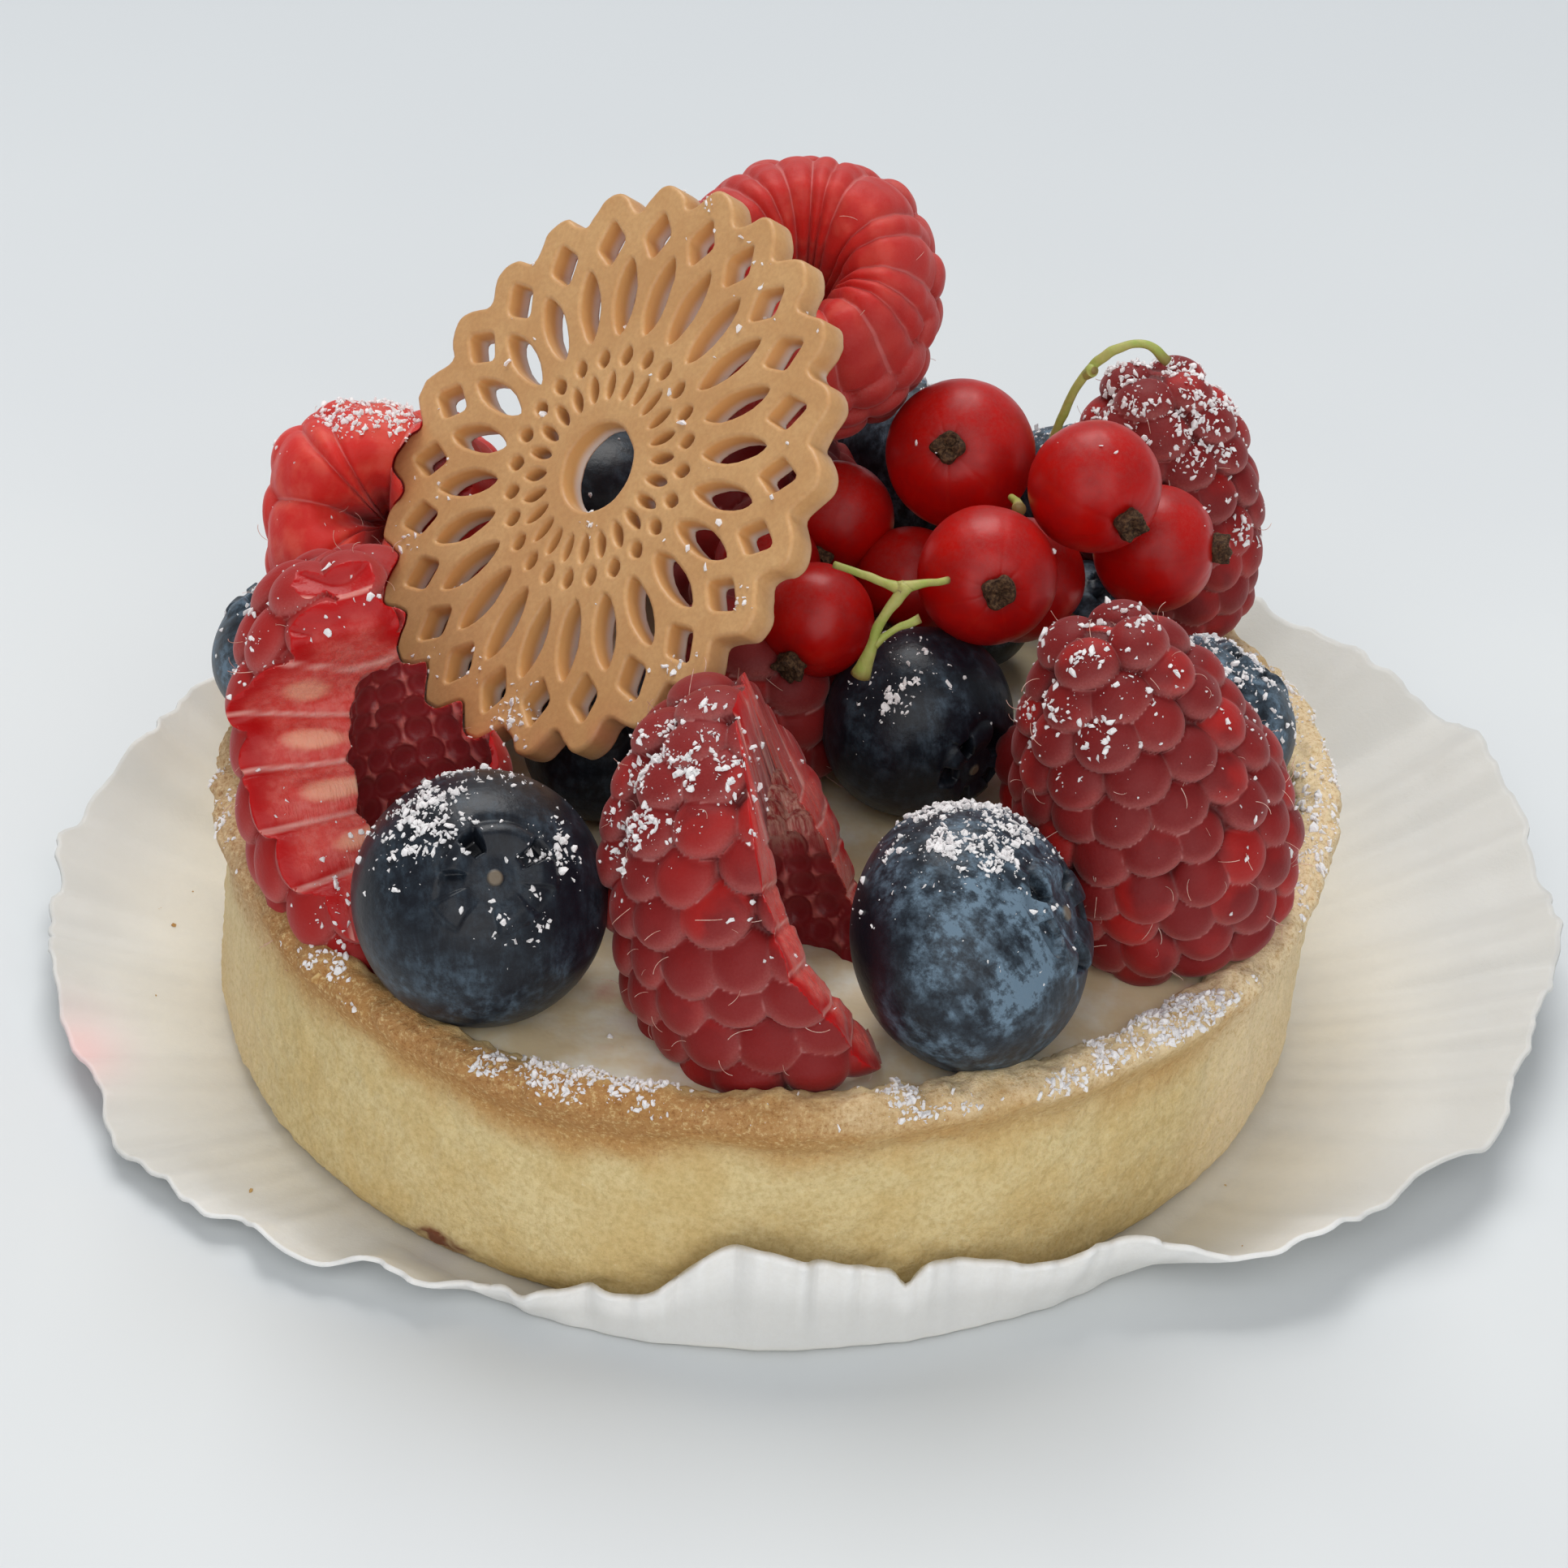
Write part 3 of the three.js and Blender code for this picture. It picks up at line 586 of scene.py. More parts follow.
class Finish(Tree):
    """A new material, with short calls that mix its colours, relief and gloss."""

    def __init__(self, name, shine, roughness=None, soft=None, more=None):
        """Soft is how much light sinks in, how far each colour goes, and that way's length in millimetres."""
        self.material = bpy.data.materials.new(name)
        self.material.use_nodes = True
        super().__init__(self.material.node_tree)
        self.shader = self.nodes["Principled BSDF"]
        self.place = self.add("ShaderNodeTexCoord", output="Object")
        values = {"Specular IOR Level": shine, **(more or {})}
        if roughness is not None:
            values["Roughness"] = roughness
        if soft:
            weight, reach, depth_mm = soft
            values |= {
                "Subsurface Weight": weight, "Subsurface Radius": reach, "Subsurface Scale": depth_mm * MM,
            }
        for key, value in values.items():
            self.shader.inputs[key].default_value = value

    def field(self, name, output="Fac"):
        """A field stored on the mesh."""
        return self.add("ShaderNodeAttribute", output=output, attribute_name=name)

    def fields(self, name):
        """The three parts of a field stored on the mesh."""
        return tuple(self.add("ShaderNodeSeparateXYZ", {0: self.field(name, "Vector")}, output=None).outputs)

    def noise(self, size_mm, detail=2.0, rough=0.5, place=None):
        """Noise from 0 to 1 with lumps of that size."""
        place = self.place if place is None else place
        values = {"Vector": place, "Scale": 1 / (size_mm * MM), "Detail": detail, "Roughness": rough}
        return self.add("ShaderNodeTexNoise", values)

    def stretched(self, shape):
        """The place in the piece's own frame, stretched along its axes."""
        return self.vector("MULTIPLY", self.field("place", "Vector"), shape)

    def span(self, value, low, high, to_low=0.0, to_high=1.0):
        """The value's run from low to high as one from 0 to 1, with soft ends."""
        values = {"Value": value, 1: low, 2: high, 3: to_low, 4: to_high}
        return self.add("ShaderNodeMapRange", values, interpolation_type="SMOOTHSTEP")

    def coats(self, colour, *coats):
        """The colour under coats of (share, colour); plain colours are given as they look on a screen."""

        def given(value):
            if isinstance(value, bpy.types.NodeSocket):
                return value
            return (*(screen_colour(*value) if isinstance(value, tuple) else value), 1)

        for share, coat in coats:
            values = {0: share, 6: given(colour), 7: given(coat)}
            colour = self.add("ShaderNodeMix", values, output=2, data_type="RGBA")
        return colour

    def bump(self, height, depth_mm, onto=None):
        """Fine relief of that depth, with height from 0 to 1, on top of other relief."""
        values = {"Height": height, "Distance": depth_mm * MM, "Strength": 1.0}
        return self.add("ShaderNodeBump", values if onto is None else {**values, "Normal": onto})

    def finished(self, colour, relief=None, rough=None):
        """The material, with its colour, relief and roughness joined to the shader."""
        for key, socket in (("Base Color", colour), ("Normal", relief), ("Roughness", rough)):
            if socket is not None:
                self.links.new(socket, self.shader.inputs[key])
        return self.material


# ---------------------------------------------------------------- finishes


def raspberry_finish(name, depth_mm, least_down):
    """Velvety drupelets with painted shade in their creases, painted sheen on their lower edges and a painted
    glow of light through the flesh, and flesh with pale ribs and seeds where a berry is cut or hollow.
    """
    look = bpy.context.scene.tart_fruit
    sheen = {"Sheen Weight": 0.16, "Sheen Roughness": 0.4, "Sheen Tint": (1, 0.74, 0.74, 1), "IOR": 1.42}
    f = Finish(name, 0.3, soft=(0.4, (1.0, 0.12, 0.07), depth_mm), more=sheen)
    dome, lower, tone = f.fields("skin")
    cut, inside, seed = f.fields("flesh")
    edge, painted_glow, strings = f.fields("edges")

    # riper drupelets at random, and the painted glow where light would shine through the flesh
    ripeness_and_glow = f.times(f.span(tone, 0.3, 1, 0, 0.42), f.span(f.noise(5, 3), 0.42, 0.62))
    ripeness_and_glow = f.number("MAXIMUM", ripeness_and_glow, painted_glow)
    # painted glow: clearer, lighter patches where light would shine through the flesh
    clear = f.times(f.span(f.noise(2.2, 3), 0.42, 0.66), f.span(painted_glow, 0.4, 1, 0, 0.45))
    # painted shade: the creases between drupelets are darkened, less where the flesh has painted glow
    crease_shade = f.times(f.span(dome, 0, 0.4, 0.75, 0), f.span(painted_glow, 0, 0.6, 1, 0.1))
    band = f.times(f.span(dome, 0.02, 0.14), f.span(dome, 0.15, 0.8, 1, 0.2))
    # pale down on each drupelet's lower edge, which also paints the sheen that light gives there
    rounded = f.times(f.span(lower, -0.6, 0.9), band)
    down_and_sheen = f.times(
        f.number("MULTIPLY_ADD", rounded, 0.58, least_down),
        f.span(f.noise(0.16, 3, 0.75), 0.3, 0.8, 0.55, 1), f.span(ripeness_and_glow, 0, 1, 1, 0.35),
    )
    # pale down with a painted highlight along the lower edges where drupelets meet
    rim = f.times(f.span(edge, 0.3, 0.9), f.span(lower, 0, 0.35, 0.05, 0.3))
    skin = f.coats(
        look.raspberry, (ripeness_and_glow, look.raspberry_ripe_and_glow), (clear, (224, 104, 84)), (crease_shade, (70, 2, 6)),
        (down_and_sheen, look.raspberry_down_and_sheen), (rim, (222, 150, 146)),
    )

    haze = f.times(f.span(f.noise(0.8, 4, 0.65), 0.36, 0.68, 0.1, 0.65), strings)
    flesh = f.coats(
        (176, 14, 16), (strings, look.raspberry_flesh), (haze, (216, 120, 110)),
        (f.span(edge, 0.3, 1, 0, 0.75), (232, 170, 160)), (f.span(seed, 0, 0.8, 0, 0.8), (232, 168, 140)),
    )
    fibre = f.noise(0.45, 4, 0.6, f.stretched((1, 1, 0.1)))
    ring = f.times(f.span(dome, 0.45, 0.62), f.span(dome, 0.66, 0.85, 1, 0), 0.22)
    stringy = f.coats((182, 66, 66), (f.span(fibre, 0.36, 0.62), (236, 184, 168)))
    hollow = f.coats(
        (204, 112, 108), (f.span(dome, 0, 0.4), (142, 40, 44)), (ring, (168, 76, 78)), (strings, stringy)
    )
    colour = f.coats(skin, (cut, f.coats(flesh, (inside, hollow))))
    relief = f.bump(f.times(fibre, strings), 0.2, f.bump(f.noise(0.3, 3, 0.6), 0.03))
    return f.finished(colour, relief, f.span(cut, 0.2, 0.9, 0.55, 0.3))


def blueberry_finish():
    """Dark skin under a waxy bloom, wiped off in streaks, with painted shade in the star-shaped pits and
    groove of the crown.
    """
    look = bpy.context.scene.tart_fruit
    sheen = {"Sheen Weight": 0.02, "Sheen Roughness": 0.5, "Sheen Tint": (0.75, 0.85, 1, 1)}
    f = Finish("Blueberry", 0.28, more=sheen)
    crown, scar, waxy = f.fields("crown")
    patch = f.span(f.noise(4, 3, 0.6), 0.36, 0.64, 0.2, 1.25)
    mottle = f.span(f.noise(0.9, 5, 0.75), 0.34, 0.66, 0.15, 1.1)
    wipe = f.span(f.noise(0.7, 5, 0.65, f.stretched((1, 0.2, 0.5))), 0.38, 0.62, 0.35, 1.2)
    bloom = f.times(waxy, patch, mottle, wipe)
    # the crown's dark is painted shade in its pits and groove
    colour = f.coats(look.blueberry, (bloom, look.bloom), (crown, (9, 10, 16)), (scar, (122, 108, 90)))
    return f.finished(colour, f.bump(f.noise(0.8, 4, 0.6), 0.05), f.number("MULTIPLY_ADD", bloom, 0.25, 0.36))


def currant_finish():
    """Clear red skin with faint ribs from pole to pole."""
    clear = {"Transmission Weight": 0.3, "IOR": 1.36, "Coat Weight": 0.1, "Coat Roughness": 0.3}
    f = Finish("Currant skin", 0.38, soft=(0.6, (1.0, 0.06, 0.04), 3), more=clear)
    cloud = f.span(f.noise(2.4, 4, 0.65), 0.35, 0.7)
    rib = f.span(f.field("rib"), 0.55, 1, 0, 0.16)
    speck = f.times(f.span(f.noise(0.3, 4, 0.75), 0.35, 0.75, 0.03, 0.4), f.field("dust"))
    colour = f.coats(
        bpy.context.scene.tart_fruit.currant, (cloud, (184, 12, 12)), (rib, (206, 40, 24)),
        (speck, (206, 120, 112)),
    )
    return f.finished(colour, f.bump(f.noise(0.5, 4, 0.6), 0.02), f.span(cloud, 0, 1, 0.34, 0.5))


def tuft_finish():
    """Dry brown remains of a flower."""
    f = Finish("Dry tuft", 0.2, 0.85)
    grain = f.noise(0.25, 4, 0.7)
    colour = f.coats(
        bpy.context.scene.tart_fruit.tuft, (f.span(grain, 0.4, 0.7), (108, 82, 58)),
        (f.span(grain, 0.15, 0.42, 0.8, 0), (22, 14, 10)),
    )
    return f.finished(colour, f.bump(grain, 0.12))


def stem_finish():
    """Green stalks, browner at their ends."""
    f = Finish("Stem", 0.35, 0.5, (0.2, (0.6, 0.8, 0.2), 0.6))
    colour = f.coats(
        bpy.context.scene.tart_fruit.stem, (f.span(f.noise(1.6, 3, 0.6), 0.35, 0.65), (178, 176, 104)),
        (f.span(f.field("end"), 0.55, 1, 0, 0.75), (122, 88, 54)),
    )
    return f.finished(colour, f.bump(f.noise(0.4, 3, 0.6), 0.06))


def crust_finish():
    """Pale sandy crumb, browned at the lip, with a stain of dried juice at the foot, and painted light that
    pales the wall's ends and partly the lip's right side.
    """
    look = bpy.context.scene.tart_pastry
    f = Finish("Shortcrust", 0.22, 0.78, (0.12, (1.0, 0.6, 0.3), 0.8))
    baked, cloud = f.field("baked"), f.noise(4.5, 4, 0.6)
    crumb, fine = f.noise(0.45, 4, 0.72), f.noise(0.35, 4, 0.75)
    heat = f.number("ADD", baked, f.number("MULTIPLY_ADD", cloud, 0.5, -0.25))
    hottest = f.number("ADD", heat, f.number("MULTIPLY_ADD", crumb, 0.6, -0.3))
    colour = f.coats(
        look.pale,
        (f.span(cloud, 0.35, 0.68), (214, 188, 132)),
        (f.span(crumb, 0.3, 0.62, 0.55, 0), (184, 156, 98)),
        (f.span(crumb, 0.6, 0.8, 0, 0.6), (236, 222, 184)),
        (f.span(heat, 0.1, 0.95, 0, 0.95), look.brown),
        (f.span(hottest, 0.75, 1.25, 0, 0.5), (178, 122, 74)),
        (f.times(f.span(fine, 0.52, 0.66, 0, 0.75), baked), (232, 202, 146)),
        (f.times(f.span(fine, 0.34, 0.46, 0.6, 0), baked), (150, 96, 50)),
        # pale patches on the lip's right side, partly painted light, and painted light on the wall's ends
        (f.times(f.field("pale"), f.span(fine, 0.3, 0.6, 0.2, 1)), (238, 216, 178)),
        (f.span(f.noise(0.9, 2, 0.8), 0.76, 0.84, 0, 0.7), (150, 104, 60)),
        (f.field("stain"), (112, 44, 30)),
    )
    return f.finished(colour, f.bump(f.times(fine, baked), 0.22, f.bump(crumb, 0.12)))


def cream_finish():
    """Smooth vanilla filling, with a little berry juice in it."""
    f = Finish("Vanilla cream", 0.4, 0.38, (0.35, (1.0, 0.8, 0.5), 1.5))
    colour = f.coats(
        bpy.context.scene.tart_pastry.cream, (f.span(f.noise(5, 4, 0.6), 0.4, 0.7), (236, 230, 212)),
        (f.field("juice"), (196, 96, 90)),
    )
    return f.finished(colour, f.bump(f.noise(1.4, 3), 0.06))


def disc_finish():
    """Satin caramel chocolate, another tone inside the openings, with juice on its lowest petals."""
    look = bpy.context.scene.tart_pastry
    f = Finish("Caramel chocolate", 0.38, 0.42, (0.15, (1.0, 0.5, 0.25), 0.8))
    wall, depth, juice = f.fields("wall")
    inside = f.coats(look.disc_wall, (f.span(depth, 0.45, 0.85), (234, 218, 206)))
    colour = f.coats(
        look.disc, (f.span(f.noise(7, 4, 0.6), 0.35, 0.7), (212, 168, 116)),
        (f.span(f.noise(0.35, 3, 0.6), 0.3, 0.7, 0.3, 0), (176, 126, 78)),
        (wall, inside), (juice, (206, 92, 84)),
    )
    return f.finished(colour, f.bump(f.noise(0.7, 4, 0.6), 0.03))


def paper_finish():
    """Greaseproof paper, greyer and greasier near the crust, where the tint is partly painted light, and with
    painted light on the front of the case.
    """
    look = bpy.context.scene.tart_paper
    f = Finish("Greaseproof paper", 0.3, 0.5, (0.6, (1.0, 0.96, 0.9), 0.9))
    fibre = f.noise(0.5, 4, 0.7)
    # greasy tint near the crust, partly painted light
    greasy_and_lit = f.times(f.field("greasy_and_lit"), f.span(f.noise(12, 4, 0.6), 0.25, 0.7, 0.5, 1))
    colour = f.coats(
        # painted light on the front of the case, and a greasy tint that is partly painted light
        look.colour, (greasy_and_lit, look.greasy_and_lit), (f.field("lit_front"), (242, 242, 240)),
        (f.span(fibre, 0.35, 0.65, 0.1, 0), (206, 202, 196)), (f.field("blush"), (238, 196, 196)),
    )
    return f.finished(colour, f.bump(fibre, 0.03))


def sugar_finish():
    """White icing sugar."""
    f = Finish("Icing sugar", 0.3, 0.7, (0.5, (1.0, 0.95, 0.95), 0.3))
    grain = f.noise(0.15, 3, 0.7)
    colour = f.coats(bpy.context.scene.tart_sugar.colour, (f.span(grain, 0.35, 0.65), (252, 250, 250)))
    return f.finished(colour, f.bump(grain, 0.05))


def plain_grain_finish(name, dark, light, roughness):
    """A matt finish that varies between two colours."""
    f = Finish(name, 0.25, roughness)
    grain = f.noise(0.6, 4, 0.6)
    return f.finished(f.coats(dark, (f.span(grain, 0.35, 0.65), light)), f.bump(grain, 0.05))


# ---------------------------------------------------------------- raspberries


def tapering(along, blunt):
    """Share of the full radius at each share of the length from the base."""
    narrow = SHOULDER + (1 - SHOULDER) * np.sin(math.pi / 2 * np.minimum(along / WIDEST, 1))
    tapered = np.sqrt(np.clip(1 - (np.maximum(along - WIDEST, 0) / (1 - WIDEST)) ** blunt, 0, 1))
    return np.where(along < WIDEST, narrow, tapered)


def raspberry_profile(length, radius, rings, blunt):
    """The turned form under the drupelets, from the middle of the base to the tip."""
    along = np.linspace(0, 1, 300)
    side = np.stack([radius * tapering(along, blunt), length * along], -1)
    base = np.stack([np.linspace(0, side[0, 0] - 1, 40), np.full(40, 0.2)], -1)
    return evenly(np.concatenate([base, side[side[:, 1] > 0.9]]), rings)


def open_profile(length, radius, rings, blunt):
    """The form of a raspberry with a rolled open end, from inside the hollow over the rim to the tip."""
    inside = (
        (0, 0.55), (0.16, 0.53), (0.27, 0.42), (0.33, 0.27), (0.38, 0.14), (0.47, 0.045), (0.6, 0),
        (0.75, 0.03), (0.88, 0.1), (0.97, 0.21),
    )
    along = np.linspace(0.34, 1, 120)
    side = np.stack([tapering(along + 0.02 * (1 - along), blunt), along], -1)
    return evenly(np.concatenate([inside, side]) * (radius, length), rings)


class Drupelets:
    """The small beads of a raspberry, in staggered rows over its turned form."""

    def __init__(self, profile, width, rise, chance, start=0.8):
        """Beads that wide, with that rise from row to row, from where the form passes the start height."""
        run = run_along(profile)
        along = np.gradient(profile, axis=0)
        along /= np.linalg.norm(along, axis=1, keepdims=True)
        outer = profile[:, 0] > 0.5 * profile[:, 0].max()
        base_edge = run[np.argmax((profile[:, 1] > start) & outer)]
        rows = max(2, round((run[-1] - base_edge) / rise))
        self.step = (run[-1] - base_edge) / rows
        self.rows, beads = [], []
        for row in range(rows + 1):
            at = base_edge + row * self.step
            across, height, tip_across, tip_up = (np.interp(at, run, way) for way in (*profile.T, *along.T))
            self.rows.append(((across, height), (tip_up, -tip_across)))
            count = 1 if row == rows else max(1, round(TURN * across / width))
            turn = chance.uniform(0, 0.3) + 0.5 * (row % 2)
            for k in range(count):
                angle = (k + turn + chance.uniform(-0.14, 0.14)) * TURN / count
                shift = chance.uniform(-0.14, 0.14) * rise
                half = min(0.58 * width, 0.5 * TURN * across / count + 0.3) * chance.uniform(0.96, 1.14)
                tall = rise * chance.uniform(0.7, 0.8)
                lift = 0.64 * min(half, tall) * chance.uniform(0.85, 1.15)
                c, s = math.cos(angle), math.sin(angle)
                at_bead = (across * c, across * s, height + shift)
                up = (tip_across * c, tip_across * s, tip_up)
                out = (tip_up * c, tip_up * s, -tip_across)
                beads.append((at_bead, (-s, c, 0), up, out, half, tall, lift, chance.uniform(0, 1)))
        self.at, self.around, self.up, self.out, self.half, self.tall, self.lift, self.tone = (
            np.array(values) for values in zip(*beads)
        )

    def relief(self, points, tilt=0.4):
        """For each point of the form: height, roundness, lower edge, tone, and nearness to the next bead."""
        best, second, dome, lower, tone = np.zeros((5, len(points)))
        for k in range(len(self.at)):
            near = np.flatnonzero(np.abs(points[:, 2] - self.at[k, 2]) < self.tall[k] * 1.3 + 1)
            offset = points[near] - self.at[k]
            across = offset @ self.around[k] / self.half[k]
            rise = offset @ self.up[k] / self.tall[k]
            deep = offset @ self.out[k] / (1.3 * self.half[k])
            left = 1 - across**2 - rise**2 - deep**2
            height = self.lift[k] * (np.sqrt(np.maximum(left, 0)) - tilt * rise) * (left > 0)
            wins = height > best[near]
            hit = near[wins]
            second[near] = np.maximum(second[near], np.minimum(height, best[near]))
            best[hit] = height[wins]
            dome[hit] = left[wins]
            lower[hit] = -rise[wins]
            tone[hit] = self.tone[k]
        edge = 1 - smooth((best - second) / 0.16)
        return best, dome, lower, tone, edge

    def sections(self, points, flesh, seed):
        """For points in the flesh: way from a bead's middle, nearness to the next skin and to a seed."""
        wobble = 0.5 * lump(points, 5, seed + 5)
        flat = np.stack([about_axis(points)[0], points[:, 2] + wobble], -1)
        middle = flesh / 2 + 0.5 * lump(points, 6, seed + 6)
        first, second, kernel = np.full(len(points), 9.0), np.full(len(points), 9.0), np.zeros(len(points))
        for at, out in self.rows:
            away = flat - at
            depth = -(away @ np.array(out))
            aside = np.abs(away @ np.array((-out[1], out[0]))) / (self.step / 2)
            closer = aside < first
            second = np.where(closer, first, np.minimum(second, aside))
            pip = 1 - ((depth - middle) / 1.9) ** 2 - (aside * self.step / 2 / 0.85) ** 2
            kernel = np.where(closer, np.maximum(pip, 0), kernel)
            first = np.minimum(first, aside)
        return first, np.clip(1 - (second - first) / 0.45, 0, 1), kernel


def whole_raspberry(length, radius, width, rise, blunt, rings, columns, chance):
    """A raspberry's outer skin in its own frame, tip along +Z: points, faces, beads and their fields."""
    profile = raspberry_profile(length - 0.5, radius * 0.9, rings, blunt)
    beads = Drupelets(profile, width, rise, chance)
    form, out, faces = revolve(profile, columns)
    height, *skin = beads.relief(form)
    height += 0.03 * lump(form, 0.7, 3)
    return form + out * height[:, None], faces, beads, skin


def open_raspberry(name, number, length, chance):
    """A raspberry seen from its open end, where long drupelets roll over the rim into the hollow."""
    radius, width, rise, blunt, rings, columns = RASPBERRIES[name][2:]
    ridges, lift, clear = OPEN_ENDS[name]
    profile = open_profile(length, radius * 0.93, rings, blunt)
    run = run_along(profile)
    beads = Drupelets(profile, width, rise, chance, 0.3 * length)
    form, out, faces = revolve(profile, columns)
    height, dome, lower, tone, edge = beads.relief(form)
    far = np.concatenate([[run[0]], np.repeat(run[1:-1], columns), [run[-1]]])
    rim_end = run[np.argmax(profile[:, 0] > 0.85 * radius)] + 1.2
    angle = about_axis(form)[1] + 0.05 * lump(form, 4, number)
    place = (angle / TURN * ridges + 0.28 * np.sin(3 * angle + number) + 0.2 * np.sin(7 * angle)) % ridges
    across = 2 * (place % 1) - 1
    fade = smooth(far / 2.5) * (1 - smooth((far - rim_end + 0.8 * (place.astype(int) % 2)) / 1.3))
    ridge = (lift * np.sqrt(np.maximum(1 - 0.9 * across**2, 0)) + 0.25) * fade
    wins = ridge > height
    dome = np.where(wins, 0.3 + 0.7 * (1 - across**2), dome)
    lower, tone = np.where(wins, 0.45, lower), np.where(wins, 0.5 + 0.5 * lump(form, 4, number + 2), tone)
    edge = np.where(wins, smooth((np.abs(across) - 0.84) / 0.14), edge)
    height = np.maximum(height, ridge) + 0.03 * lump(form, 0.7, 3) + 0.22 * lump(form, 2.6, number)
    height -= 0.07 * clear**3 * radius * np.cos(4 * angle)
    # painted glow: brighter red near the hollow stands in for light shining through the flesh
    painted_glow = np.maximum(1 - smooth((far - 0.45 * rim_end) / (0.75 * rim_end)), clear)
    return form + out * height[:, None], faces, (dome, lower, tone, edge), painted_glow


def cavity_tool(length, wide, chance):
    """The hollow that the core leaves, with a dimple for each drupelet."""
    deep = CAVITY_DEPTH * length
    line = (
        (0, -3), (0.8 * wide, -3), (0.8 * wide, 0.5), (wide, 0.36 * deep), (0.78 * wide, 0.72 * deep),
        (0.4 * wide, 0.95 * deep), (0, deep),
    )
    profile = evenly(line, 130)
    pits = Drupelets(profile, 1.9, 1.6, chance)
    form, out, faces = revolve(profile, 180)
    height, dome, *_ = pits.relief(form, 0)
    points = form + out * (0.75 * height + 0.06 * lump(form, 0.8, 5))[:, None]
    return points, faces, dome


def cut_tool(point, normal, twist, beads, flesh, whole, seed):
    """A block whose face is the knife's cut, with the sections of the drupelets swelling on it."""
    rows = axes_along(normal)
    fine = np.arange(-14, 14.01, 0.24)
    steps = np.concatenate([[-32, -22], fine, [22, 32]])
    count = len(steps)
    grid = np.stack(np.meshgrid(steps, steps, indexing="ij"), -1).reshape(-1, 2)
    flat = point + grid @ rows[:2]
    swell = cut_relief(flat, beads, flesh, seed)[0]
    turned = np.clip(grid[:, 0] / 8, -1.4, 1.4) - 0.35
    swell += twist * turned * hill((grid[:, 1] - 9) / 8.5)
    swell += 7 * smooth((flat[:, 2] - whole) / 2.5)
    face = flat + swell[:, None] * rows[2]
    apex = point + 70 * rows[2]
    index = np.arange(count * count).reshape(count, count)
    quads = np.stack([index[:-1, :-1], index[:-1, 1:], index[1:, 1:], index[1:, :-1]], -1).reshape(-1, 4)
    border = np.concatenate([index[0, :-1], index[:-1, -1], index[-1, :0:-1], index[:0:-1, 0]])
    sides = np.stack([np.roll(border, -1), border, np.full(len(border), count * count)], -1)
    return np.concatenate([face, [apex]]), (quads, sides)


def cut_relief(points, beads, flesh, seed):
    """How far the cut flesh swells at each point, with the skins between sections and the seeds."""
    middle, skin, kernel = beads.sections(points, flesh, seed)
    kernel = kernel * smooth((flesh - 3) / 4)
    section = 0.055 * flesh * (1 - np.minimum(middle, 1.15) ** 2)
    swell = section - 0.04 * flesh * smooth(skin) + 0.3 * np.sqrt(kernel)
    swell += 0.35 * lump(points, 3.5, seed) + 0.12 * lump(points, 1.1, seed + 1)
    return swell, skin, kernel


def space_before_disc():
    """The space between the camera and the lace disc's outline, so that the disc is seen whole."""
    outline = disc_openings()[1]
    rows, eye = disc_rows(), camera_place()[0]
    behind = DISC_THICKNESS / 2 + 0.3
    back = raised(outline, -behind) @ rows + DISC_CENTRE
    front = raised(outline, DISC_THICKNESS / 2) @ rows + DISC_CENTRE
    rings = np.concatenate([back, front, front + (eye - front) * CLEAR_VIEW])
    middle = np.array(DISC_CENTRE) - rows[2] * behind
    near = np.array(DISC_CENTRE) + (eye - DISC_CENTRE) * CLEAR_VIEW
    points = np.concatenate([[middle], rings, [near]])
    return new_mesh("space_before_disc", points, ring_faces(3, len(outline)))


